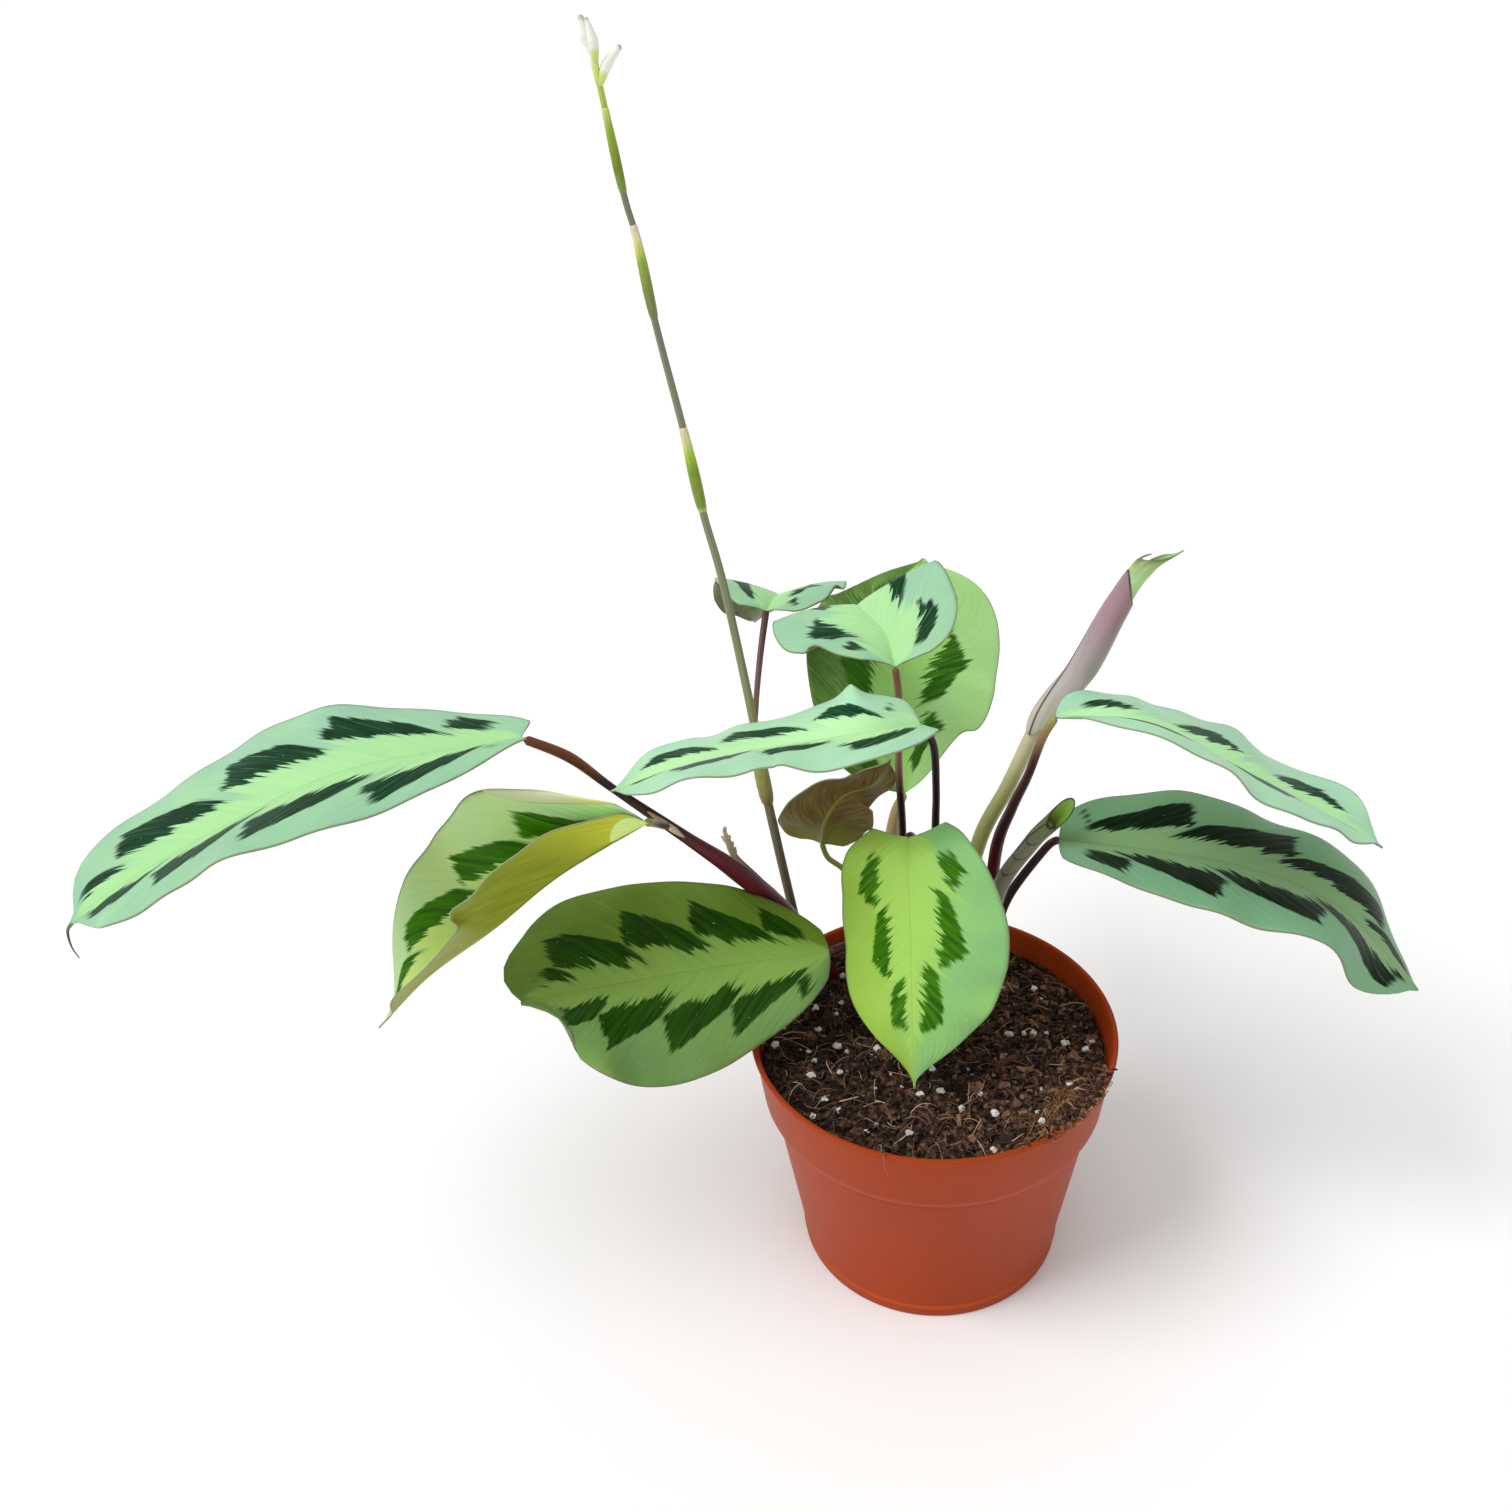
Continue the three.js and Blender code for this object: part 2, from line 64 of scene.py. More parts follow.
class Recipe:
    """One material. Each method adds a node and gives back the socket that it ends in."""

    def __init__(self, name, roughness=0.5, **constants):
        self.material = bpy.data.materials.new(name)
        self.material.use_nodes = True
        self.tree = self.material.node_tree
        self.skin = self.tree.nodes["Principled BSDF"]
        self.skin.inputs["Roughness"].default_value = roughness
        for socket, value in constants.items():
            self.skin.inputs[socket.replace("_", " ")].default_value = value

    def node(self, kind, values, out=0, **settings):
        made = self.tree.nodes.new("ShaderNode" + kind)
        for key, value in settings.items():
            setattr(made, key, value)
        for key, value in values.items():
            self.put(made.inputs[key], value)
        return made.outputs[out]

    def put(self, socket, value):
        if isinstance(value, bpy.types.NodeSocket):
            self.tree.links.new(value, socket)
        else:
            socket.default_value = value

    def maths(self, operation, *values):
        return self.node("Math", dict(enumerate(values)), operation=operation)

    def plus(self, first, second):
        return self.maths("ADD", first, second)

    def minus(self, first, second):
        return self.maths("SUBTRACT", first, second)

    def times(self, first, second):
        return self.maths("MULTIPLY", first, second)

    def times_plus(self, value, factor, extra):
        return self.maths("MULTIPLY_ADD", value, factor, extra)

    def stretched(self, along, lengthways, around, sideways):
        """A flat place for a noise, with each part stretched by its own factor."""
        x, y = self.times(along, lengthways), self.times(around, sideways)
        return self.node("CombineXYZ", {0: x, 1: y})

    def rise(self, value, low, high):
        """0 below low, 1 above high, and a soft step between."""
        span = {0: value, 1: low, 2: high}
        return self.node("MapRange", span, interpolation_type="SMOOTHSTEP")

    def mix(self, share, first, second, **settings):
        colours = {0: share, 6: first, 7: second}
        return self.node("Mix", colours, out=2, data_type="RGBA", **settings)

    def grain(self, where, scale, detail=2.0):
        return self.node("TexNoise", {"Vector": where, "Scale": scale, "Detail": detail})

    def blend(self, place, stops):
        """Colours along a line, as (place, colour) stops."""
        made = self.tree.nodes.new("ShaderNodeValToRGB")
        self.put(made.inputs[0], place)
        bar = made.color_ramp.elements
        while len(bar) < len(stops):
            bar.new(0.5)
        for element, (at, colour) in zip(bar, stops):
            element.position = at
            element.color = colour
        return made.outputs[0]

    def split(self, where):
        """The x, y and z of a place."""
        parts = self.tree.nodes.new("ShaderNodeSeparateXYZ")
        self.put(parts.inputs[0], where)
        return parts.outputs

    def uv(self):
        parts = self.split(self.node("TexCoord", {}, out=2))
        return parts[0], parts[1]

    def place(self):
        return self.node("TexCoord", {}, out=3)

    def finish(self, colour, height=None, depth=0.0, strength=1.0):
        self.put(self.skin.inputs["Base Color"], colour)
        if height is not None:
            bump = self.node("Bump", {"Height": height, "Distance": depth, "Strength": strength})
            self.put(self.skin.inputs["Normal"], bump)
        return self.material


print("white paint is", paint(255, 255, 255))

# %% [markdown]
# ## Shaping
#
# Blades and stalks both start as a flat grid whose vertices are then moved. A blade could
# be bent with lattices and a stalk made as a bevelled curve; moving the vertices by a rule
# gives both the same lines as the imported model, and keeps a map of where each vertex is
# along and across the piece, which the patterns need.

# %% Grids that are moved into shape
def deselect():
    if bpy.context.object and bpy.context.object.mode != "OBJECT":
        bpy.ops.object.mode_set(mode="OBJECT")
    bpy.ops.object.select_all(action="DESELECT")


def shaped(name, rows, columns, rule, seam=False):
    """A grid moved by rule(s, v): s runs 0 to 1 along the piece and v -1 to 1 across it."""
    deselect()
    bpy.ops.mesh.primitive_grid_add(x_subdivisions=rows, y_subdivisions=columns, size=1)
    piece = bpy.context.object
    piece.name = piece.data.name = name
    mesh = piece.data
    flat = np.empty(len(mesh.vertices) * 3)
    mesh.vertices.foreach_get("co", flat)
    flat = flat.reshape(-1, 3)
    moved = rule(flat[:, 0] + 0.5, -2 * flat[:, 1])
    mesh.vertices.foreach_set("co", np.ascontiguousarray(moved, np.float32).ravel())
    mesh.update()
    if seam:
        bpy.ops.object.mode_set(mode="EDIT")
        bpy.ops.mesh.select_all(action="SELECT")
        bpy.ops.mesh.remove_doubles(threshold=1e-6)
        bpy.ops.mesh.normals_make_consistent(inside=False)
        bpy.ops.object.mode_set(mode="OBJECT")
    bpy.ops.object.shade_smooth()
    return piece


def distances(points):
    """How far along a line each of its points lies."""
    return np.r_[0, np.cumsum(np.linalg.norm(np.diff(points, axis=0), axis=1))]


def smooth_line(points, count=300):
    """Evenly spaced points along a smooth line through the given ones, in metres."""
    p = np.array(points, float) * MM
    p = np.vstack([2 * p[0] - p[1], p, 2 * p[-1] - p[-2]])
    t = np.arange(0, len(p) - 3, 1 / 60)
    i = t.astype(int)
    f = (t - i)[:, None]
    a, b, c, d = p[i], p[i + 1], p[i + 2], p[i + 3]
    bend, twist = 2 * a - 5 * b + 4 * c - d, 3 * b - a - 3 * c + d
    line = b + ((c - a) * f + bend * f**2 + twist * f**3) / 2
    line = np.vstack([line, p[-2]])
    run = distances(line)
    place = np.linspace(0, run[-1], count)
    return np.column_stack([np.interp(place, run, line[:, k]) for k in range(3)])


def read(values, s):
    """values at s, each row being evenly spaced from 0 to 1."""
    values = np.asarray(values, float)
    places = np.linspace(0, 1, len(values))
    if values.ndim == 1:
        return np.interp(s, places, values)
    return np.column_stack([np.interp(s, places, values[:, k]) for k in range(3)])


def unit(vectors):
    return vectors / np.linalg.norm(vectors, axis=1, keepdims=True)


def dress(piece, node, slot, *materials):
    """Gives a finished piece its materials, hangs it under the root, and hides the CAD node it
    stands for.
    """
    for material in materials:
        piece.data.materials.append(material)
    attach(piece, "root")
    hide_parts(node)


def apply_modifier(piece, kind, **settings):
    deselect()
    piece.select_set(True)
    bpy.context.view_layer.objects.active = piece
    modifier = piece.modifiers.new(kind.title(), kind)
    for key, value in settings.items():
        setattr(modifier, key, value)
    bpy.ops.object.modifier_apply(modifier=modifier.name)


corner = smooth_line([(0, 0, 0), (10, 0, 0), (10, 10, 0)])
print("a line round a 10 mm corner is", round(float(distances(corner)[-1]) / MM, 1), "mm long")

# %% [markdown]
# ## What a prayer plant's leaf looks like
#
# A pale feather runs along the midrib, its edge cut into teeth along the side veins. Past
# it lie three or four dark blotches on each half, then a plain border with a thin darker
# edge. All of it leans with the side veins, so the pattern is worked out in "vein", a
# number that stays the same along any one side vein. It could be painted by hand; a rule
# gives eleven leaves that differ and still match.

# %% Leaf materials
VEIN_LEAN = 0.32  # how far towards the tip a side vein has gone when it meets the margin
CROWDING = 1.4  # a power: rows of a blade's grid lie closer together near its base
COARSE_TEETH, FINE_TEETH, STREAKS = 42.0, 130.0, 75.0  # how many fit along a blade
TEETH_ACROSS = 2.2  # and across one half of it
HALVES_APART = 9.0  # a step in the noise, so that the two halves differ
MARGIN, FRECKLE, UNDER_MARGIN = paint(130, 118, 92), paint(225, 240, 215), paint(118, 84, 60)


def leaf_map(recipe):
    row, side = recipe.uv()
    along = recipe.maths("POWER", row, CROWDING)
    across = recipe.maths("ABSOLUTE", recipe.times_plus(side, 2.0, -1.0))
    half = recipe.maths("GREATER_THAN", side, 0.5)
    vein = recipe.times_plus(across, -VEIN_LEAN, along)
    return along, side, across, half, vein


def teeth(recipe, vein, across, half, seed, fineness):
    """Noise drawn out along the side veins."""
    where = recipe.node("CombineXYZ", {
        0: recipe.times(vein, fineness),
        1: recipe.times(across, TEETH_ACROSS),
        2: recipe.times_plus(half, HALVES_APART, seed),
    })
    return recipe.grain(where, 1.0, 3.0)


def blotches(recipe, parts, seed, count, near, far, thick, gap, start, end, shift=0.4):
    """How dark the pattern is, and how far inside the blotches a place lies."""
    along, _, across, half, vein = parts
    coarse = teeth(recipe, vein, across, half, seed, COARSE_TEETH)
    fine = teeth(recipe, vein, across, half, seed + 3, FINE_TEETH)
    jag = recipe.plus(recipe.times_plus(coarse, 0.36, -0.18), recipe.times_plus(fine, 0.26, -0.13))
    number = recipe.times_plus(vein, count, 10 + seed * 0.37)
    phase = recipe.maths("FRACT", recipe.plus(number, recipe.times(half, shift)))
    middle = recipe.times_plus(vein, far - near, near)
    slope = recipe.times_plus(recipe.maths("POWER", phase, 2.0), 0.16, middle)
    inner = recipe.plus(slope, jag)
    bulge = recipe.times_plus(recipe.maths("PINGPONG", phase, 0.5), 1.3 * thick, 0.38 * thick)
    outer = recipe.plus(recipe.plus(middle, bulge), recipe.times(jag, 0.45))
    past_inner = recipe.rise(recipe.minus(across, inner), -0.015, 0.02)
    dark = recipe.times(past_inner, recipe.rise(recipe.minus(outer, across), -0.02, 0.03))
    ragged_phase = recipe.times_plus(jag, 0.35, phase)
    dark = recipe.times(dark, recipe.rise(ragged_phase, gap - 0.03, gap + 0.03))
    begun = recipe.rise(recipe.times_plus(jag, 0.2, along), start, start + 0.03)
    left_to_go = recipe.minus(end, recipe.times_plus(jag, 0.2, along))
    ends = recipe.times(begun, recipe.rise(left_to_go, 0.0, 0.03))
    return recipe.times(dark, ends), recipe.minus(inner, across), coarse, fine


def blade_top(name, seed, left, right, dark, band, pattern):
    recipe = Recipe(name, 0.4, Specular_IOR_Level=0.1)
    parts = _, side, across, half, vein = leaf_map(recipe)
    blotch, inside, coarse, fine = blotches(recipe, parts, seed, **pattern)
    blade = recipe.mix(recipe.rise(side, 0.8, 0.2), left, right)
    clouds = recipe.grain(recipe.place(), 45.0, 3.0)
    blade = recipe.mix(recipe.times(recipe.rise(clouds, 0.35, 0.75), 0.35), blade, band)
    streaks = teeth(recipe, vein, across, half, seed + 6, STREAKS)
    blade = recipe.mix(recipe.times(recipe.rise(streaks, 0.45, 0.8), 0.3), blade, band)
    near_rib = recipe.rise(inside, -0.12, 0.1)
    feather = recipe.times(near_rib, recipe.times_plus(coarse, 0.8, 0.4))
    colour = recipe.mix(feather, blade, band)
    deep = tuple(0.5 * c for c in dark[:3]) + (1,)
    worn = recipe.times_plus(recipe.rise(fine, 0.55, 0.8), -0.35, 1.0)
    blotch = recipe.times(blotch, worn)
    colour = recipe.mix(blotch, colour, recipe.mix(recipe.rise(coarse, 0.35, 0.65), dark, deep))
    rib = recipe.rise(across, 0.035, 0.008)
    colour = recipe.mix(recipe.times(rib, 0.6), colour, band)
    line = recipe.rise(across, 0.012, 0.004)
    colour = recipe.mix(recipe.times(line, 0.18), colour, dark)
    edge = recipe.rise(across, 0.98, 0.995)
    colour = recipe.mix(recipe.times(edge, 0.7), colour, MARGIN)
    freckles = recipe.rise(recipe.grain(recipe.place(), 1100.0, 1.0), 0.77, 0.8)
    colour = recipe.mix(recipe.times(freckles, 0.35), colour, FRECKLE)
    ridges = recipe.times(recipe.maths("SINE", recipe.times(vein, 150.0)), 0.35)
    puckers = recipe.times_plus(coarse, 3.0, recipe.times(streaks, 2.0))
    relief = recipe.plus(ridges, puckers)
    relief = recipe.times_plus(recipe.rise(across, 0.04, 0.0), -2.5, relief)
    return recipe.finish(colour, relief, 0.0002, 0.35)


def blade_underside(name, seed, flesh, veins, base):
    recipe = Recipe(name, 0.5, Specular_IOR_Level=0.4)
    along, _, across, half, vein = leaf_map(recipe)
    coarse = teeth(recipe, vein, across, half, seed, 30.0)
    lines = recipe.rise(recipe.maths("SINE", recipe.times(vein, 110.0)), 0.7, 1.0)
    colour = recipe.mix(recipe.rise(along, 0.32, 0.0), flesh, base)
    colour = recipe.mix(recipe.times(lines, 0.22), colour, veins)
    colour = recipe.mix(recipe.rise(coarse, 0.35, 0.9), colour, veins)
    colour = recipe.mix(recipe.rise(across, 0.06, 0.02), colour, veins)
    colour = recipe.mix(recipe.rise(across, 0.982, 0.995), colour, UNDER_MARGIN)
    return recipe.finish(colour, recipe.rise(across, 0.06, 0.0), 0.0006, 0.8)


print("a side vein runs", VEIN_LEAN, "of the blade's length towards the tip")

# %% [markdown]
# ## The blades
#
# Each blade follows its own midrib, and each half is an arc that leaves the rib at an
# angle and curves over to the margin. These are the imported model's lines, drawn on a much
# finer grid. A blade could be cut out of a plane by hand; a rule keeps all eleven as large
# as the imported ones. A solidify modifier then gives the sheet its thickness, and its lower
# side the underside's material.
#
# In the list, rib is the midrib from stalk to tip, faces is where the upper side looks,
# and left and right are the angles, in degrees and from base to tip, at which each half
# leaves the rib. The rest shapes the outline: widest is the share of the length where it
# is widest, a low roundness makes a blunt base, taper and point shape the tip, and lobe is
# how far the base reaches back past the stalk. Lengths are in millimetres.

# %% Blade shapes
BLADES = {
    "far_left": dict(
        rib=[(-119, -16, 208), (-169, -27, 203), (-211, -35, 185), (-239, -46, 172),
             (-251, -54, 165)],
        faces=(0, -0.2, 1), half_width=32, widest=0.64,
        roundness=0.56, taper=3.8, point=0.06, lobe=8,
        left=(40, 3, 18, 22, 15), right=(-15, -5, 8, -6, 5)),
    "left_folded": dict(
        rib=[(-86, -11, 176), (-114, -16, 159), (-135, -23, 143), (-154, -35, 133),
             (-171, -40, 116)],
        faces=(-0.3, -0.2, 1), half_width=36, widest=0.36, roundness=0.48, lobe=2,
        left=(65, 55, 55, 45, 25), right=(110, 80, 48, 46, -8)),
    "front_left": dict(
        rib=[(-33, -3, 122), (-67, -11, 121), (-99, -19, 119), (-119, -29, 121), (-125, -37, 125)],
        faces=(0, -0.7, 0.7), half_width=35, widest=0.62,
        roundness=0.6, taper=4, point=0.08, lobe=2,
        left=(-15, -20, 0, 28, 40), right=(-30, -20, -20, -20, -40)),
    "mid_left": dict(
        rib=[(-5, 13, 197), (-22, 3, 200), (-47, 3, 195), (-73, -3, 192), (-97, -7, 184)],
        faces=(0, 0, 1), half_width=26, widest=0.65, roundness=0.4, point=0.08, lobe=3,
        left=(20, 5, 20, 20, 15), right=(25, 10, -15, -15, 5)),
    "front": dict(
        rib=[(-8, -0.5, 165.5), (-8, -8, 161), (-7, -17, 146), (-6, -27, 121), (-5, -34, 94)],
        faces=(0.1, -0.9, 0.4), half_width=29.5, widest=0.4, roundness=0.5, lobe=7.5,
        left=(24, 12, 5, 0, 15), right=(-12, -46, -50, -35, -35)),
    "right_lower": dict(
        rib=[(39, 21, 151), (67, 19, 149), (94, 13, 148), (121, 4, 141), (145, -11, 121)],
        faces=(0.1, -0.4, 0.9), half_width=29, widest=0.65,
        roundness=0.46, taper=2.8, point=0.04, lobe=3,
        left=(-5, 0, -20, -25, -50), right=(25, 25, 20, 35, 0)),
    "right_upper": dict(
        rib=[(34, 4, 206), (59, 3, 205), (83, 4, 192), (108, 6, 176), (132, 6, 161)],
        faces=(0.2, 0, 1), half_width=25, widest=0.58,
        roundness=0.52, taper=2.8, point=0.08, lobe=1,
        left=(20, -15, 0, -5, 35), right=(25, 20, 10, 15, 25)),
    "upper_middle": dict(
        rib=[(-13, 26, 210), (-17, 46, 211), (-26, 62, 212), (-25, 80, 202), (-19, 95, 186)],
        faces=(0, 0, 1), half_width=29, widest=0.48, roundness=0.46, lobe=3,
        left=(20, -5, -15, -10, -10), right=(15, 25, 25, 20, 10)),
    "upper_left": dict(
        rib=[(-58, 77, 203), (-57, 91, 201), (-56, 103, 196), (-60, 113, 187), (-68, 119, 177)],
        faces=(0, 0, 1), half_width=24, widest=0.48, roundness=0.44, lobe=3,
        left=(20, 15, 5, 5, 5), right=(0, 10, 10, -10, -5)),
    "back_upright": dict(
        rib=[(-11, 72, 134), (-16, 90, 147), (-13, 108, 164), (-7, 122, 182), (-6, 130, 198)],
        faces=(0, -0.9, 0.4), half_width=37, widest=0.64,
        roundness=0.6, taper=3, point=0.07, lobe=0,
        left=(25, 25, 10, -15, -25), right=(15, 0, -14, -25, -38)),
    "low_back": dict(
        rib=[(-39, 48, 128), (-37, 45, 140), (-31, 46, 149), (-21, 46, 154), (-15, 46, 164)],
        faces=(0, 1, 0.2), half_width=18, widest=0.41, roundness=0.43, taper=1.6, point=0.1, lobe=2,
        left=(-5, 10, 20, 30, 30), right=(15, -15, -30, -20, -5)),
}
BLADE_ARCH = math.radians(25)  # how far each half curves over from rib to margin
BLADE_THICKNESS = 0.5 * MM
LOBE_REACH = 0.35  # the share of the length that a lobe draws back
RIPPLE, RIB_GROOVE, RIB_GROOVE_WIDTH = 0.8, 0.5, 1.2  # millimetres


def outline(s, widest, roundness, taper, point):
    base = (1 - (1 - np.minimum(s / widest, 1)) ** 2) ** roundness
    left = np.clip((1 - s) / (1 - widest), 0, 1)
    tip = (1 - (1 - left) ** taper) * (1 - np.exp(-((left / point) ** 1.5)))
    return np.where(s < widest, base, tip)


def softened(values):
    """values at 201 even places, with the corners between them rounded off."""
    fine = np.interp(np.linspace(-0.1, 1.1, 241), np.linspace(0, 1, len(values)), values)
    window = np.hanning(41)
    return np.convolve(fine, window / window.sum(), "valid")


def blade_rule(rib, faces, half_width, widest, roundness, lobe, left, right,
               taper=2.2, point=0.2, seed=0):
    line = smooth_line(rib)
    heading = unit(np.gradient(line, axis=0))
    left, right = softened(left), softened(right)

    def rule(x, v):
        s = x**CROWDING
        u = np.abs(v)
        tangent = unit(read(heading, s))
        side = unit(np.cross(tangent, np.array(faces, float)))
        normal = np.cross(side, tangent)
        side = side * np.where(v < 0, -1, 1)[:, None]
        drawn = outline(s, widest, roundness, taper, point) * half_width
        width = np.maximum(drawn, 1 - 0.7 * s) * MM
        lift = np.where(v < 0, read(left, s), read(right, s))
        start = np.radians(lift) + BLADE_ARCH / 2
        end = start - BLADE_ARCH * u
        outward = width * (np.sin(start) - np.sin(end)) / BLADE_ARCH
        upward = width * (np.cos(end) - np.cos(start)) / BLADE_ARCH
        wave = np.sin(s * 21 + seed + np.where(v < 0, 2.0, 0.0)) + 0.6 * np.sin(s * 37 + 2 * seed)
        upward = upward + wave * RIPPLE * MM * u**3 * np.minimum(1, width / (10 * MM))
        groove = np.exp(-((u * width / (RIB_GROOVE_WIDTH * MM)) ** 2))
        upward = upward - RIB_GROOVE * MM * groove * (1 - s)
        fading = np.maximum(0, 1 - s / LOBE_REACH) ** 1.5
        back = lobe * MM * u**2 * np.minimum(1, s / 0.03) * fading
        moved = side * outward[:, None] + normal * upward[:, None] - tangent * back[:, None]
        return read(line, s) + moved

    return rule


print("blade shapes:", len(BLADES))

# %% [markdown]
# ## The blades' colours
#
# Old blades are pale: their own colour, with a painted sheen of the bright sky on it. Those that
# lie flat to the sky catch the most light, so their paint is a little deeper. Young ones are
# yellower, and the folded one is painted lighter still, painted light that shines through it. The
# front left and right lower blades are painted a deeper green, as painted shade, and the back
# upright blade's left half is darker, a painted shadow of the blades above it. Each could
# have a material painted for it. One recipe with a few choices per blade is less work and
# keeps them one plant's leaves: the greens of both halves, of the blotches and of the
# feather, and for the blotches how many there are, how near the rib they start at the
# leaf's base and at its tip, how thick they are, the gap between them, and where the row
# starts and ends.

# %% Blade colours
def pattern(count, near, far, thick, gap, start=0.06, end=0.93, shift=0.4):
    return dict(count=count, near=near, far=far, thick=thick, gap=gap,
                start=start, end=end, shift=shift)


def greens(left, right, dark, band):
    return dict(left=paint(*left), right=paint(*right), dark=paint(*dark), band=paint(*band))


# Both pale greens hold a painted sheen of the sky as well as the blades' own colour.
PALE = greens((160, 206, 174), (164, 212, 178), (10, 70, 34), (182, 232, 164))
PALE_TO_THE_SKY = greens((142, 188, 154), (146, 190, 160), (8, 62, 30), (168, 220, 148))
LEAF_LOOKS = {
    "far_left": (
        PALE_TO_THE_SKY,
        pattern(4.0, 0.34, 0.16, 0.48, 0.14, end=0.97)),
    # Painted light: the folded blade is painted lighter for the light that shines through it, most
    # on its far half.
    "left_folded": (
        greens((172, 216, 146), (206, 244, 176), (72, 140, 0), (232, 252, 140)),
        pattern(4.2, 0.34, 0.3, 0.42, 0.04)),
    # Painted shade: this shaded blade's greens are painted deeper.
    "front_left": (
        greens((112, 150, 86), (100, 132, 40), (34, 78, 0), (136, 172, 80)),
        pattern(4.4, 0.26, 0.1, 0.52, 0.02, end=0.9)),
    "mid_left": (
        PALE,
        pattern(3.6, 0.28, 0.14, 0.4, 0.2)),
    "front": (
        greens((132, 188, 118), (146, 184, 72), (58, 120, 0), (160, 204, 92)),
        pattern(3.0, 0.38, -0.12, 0.32, 0.0, start=0.08, end=0.77, shift=0.25)),
    # Painted shade: this shaded blade's greens are painted deeper.
    "right_lower": (
        greens((112, 160, 116), (118, 166, 128), (2, 34, 0), (132, 168, 114)),
        pattern(3.8, 0.26, 0.14, 0.54, 0.04, end=0.97)),
    "right_upper": (
        PALE,
        pattern(3.0, 0.2, 0.16, 0.36, 0.34)),
    "upper_middle": (
        PALE_TO_THE_SKY,
        pattern(3.2, 0.4, 0.2, 0.36, 0.2)),
    "upper_left": (
        PALE_TO_THE_SKY,
        pattern(3.0, 0.34, 0.2, 0.36, 0.1)),
    # Painted shadow: the left half is painted dark where the blades above shade it.
    "back_upright": (
        greens((62, 94, 30), (176, 226, 148), (56, 116, 8), (160, 216, 112)),
        pattern(2.6, 0.26, 0.2, 0.4, 0.12)),
    "low_back": (
        PALE,
        pattern(4.0, 0.3, 0.2, 0.36, 0.1)),
}


def undersides(flesh, veins, base):
    return dict(flesh=paint(*flesh), veins=paint(*veins), base=paint(*base))


UNDERSIDES = {
    "left_folded": undersides((134, 146, 30), (170, 176, 58), (220, 224, 66)),
    "low_back": undersides((112, 84, 50), (152, 150, 62), (136, 140, 60)),
}
USUAL_UNDERSIDE = undersides((104, 112, 82), (140, 150, 104), (150, 160, 90))
BLADE_SLOTS = {
    "left_folded": "yellow_green_blade", "front": "yellow_green_blade",
    "front_left": "deep_green_blade", "right_lower": "deep_green_blade",
}

BLADE_ROWS, BLADE_COLUMNS = 84, 34
for seed, (name, shape) in enumerate(BLADES.items()):
    rule = blade_rule(seed=seed, **shape)
    blade = shaped("blade_" + name, BLADE_ROWS, BLADE_COLUMNS, rule)
    colours, marks = LEAF_LOOKS[name]
    top = blade_top("leaf top " + name, float(seed), pattern=marks, **colours)
    underside = UNDERSIDES.get(name, USUAL_UNDERSIDE)
    below = blade_underside("leaf underside " + name, float(seed), **underside)
    dress(blade, "leaf_" + name, BLADE_SLOTS.get(name, "patterned_blade"), top, below)
    apply_modifier(blade, "SOLIDIFY", thickness=BLADE_THICKNESS, offset=0.0, material_offset=1)
print("blades:", len(BLADES))

# %% [markdown]
# ## The stalks
#
# Leaf stalks are round, a little swollen where they sheathe the stem below them, and
# change colour on the way up. A bevelled curve would do; a rolled-up grid is the same
# shape and keeps the place along the stalk for its colours.

# %% Stalk shapes
def ring_around(middle, out, across, turn, radius):
    """Places round a line, at the angle turn and the distance radius from it."""
    sideways, onwards = np.cos(turn) * radius, np.sin(turn) * radius
    return middle + out * sideways[:, None] + across * onwards[:, None]


def stalk_rule(points, radii):
    points = np.array(points, float)
    run = distances(points)
    line = smooth_line(points)
    heading = unit(np.gradient(line, axis=0))
    hint = np.array([0.3, 1, 0.1])

    def rule(s, v):
        tangent = unit(read(heading, s))
        out = unit(np.cross(tangent, hint))
        across = np.cross(tangent, out)
        length = run[-1] * MM
        radius = np.interp(s, run / run[-1], radii) * MM
        nearest = np.minimum(s, 1 - s) * length
        cap = np.sqrt(np.clip(1 - (1 - nearest / radius) ** 2, 0, 1))
        radius = radius * np.where(nearest < radius, cap, 1)
        return ring_around(read(line, s), out, -across, v * math.pi, radius)

    return rule


def stalk_material(name, stops, roughness=0.38, streak=0.5):
    recipe = Recipe(name, roughness, Specular_IOR_Level=0.3)
    along, around = recipe.uv()
    where = recipe.stretched(along, 6.0, around, 14.0)
    streaks = recipe.grain(where, 1.0, 3.0)
    colour = recipe.blend(along, stops)
    darker = recipe.mix(streak, colour, streaks, blend_type="MULTIPLY")
    colour = recipe.mix(recipe.rise(streaks, 0.35, 0.75), darker, colour)
    return recipe.finish(colour, streaks, 0.0002, 0.4)


def add_stalk(name, node, slot, points, radii, stops, rows=60, sides=18, **look):
    stalk = shaped(name, rows, sides, stalk_rule(points, radii), seam=True)
    dress(stalk, node, slot, stalk_material(name.replace("_", " "), stops, **look))


print("stalk shapes are ready")

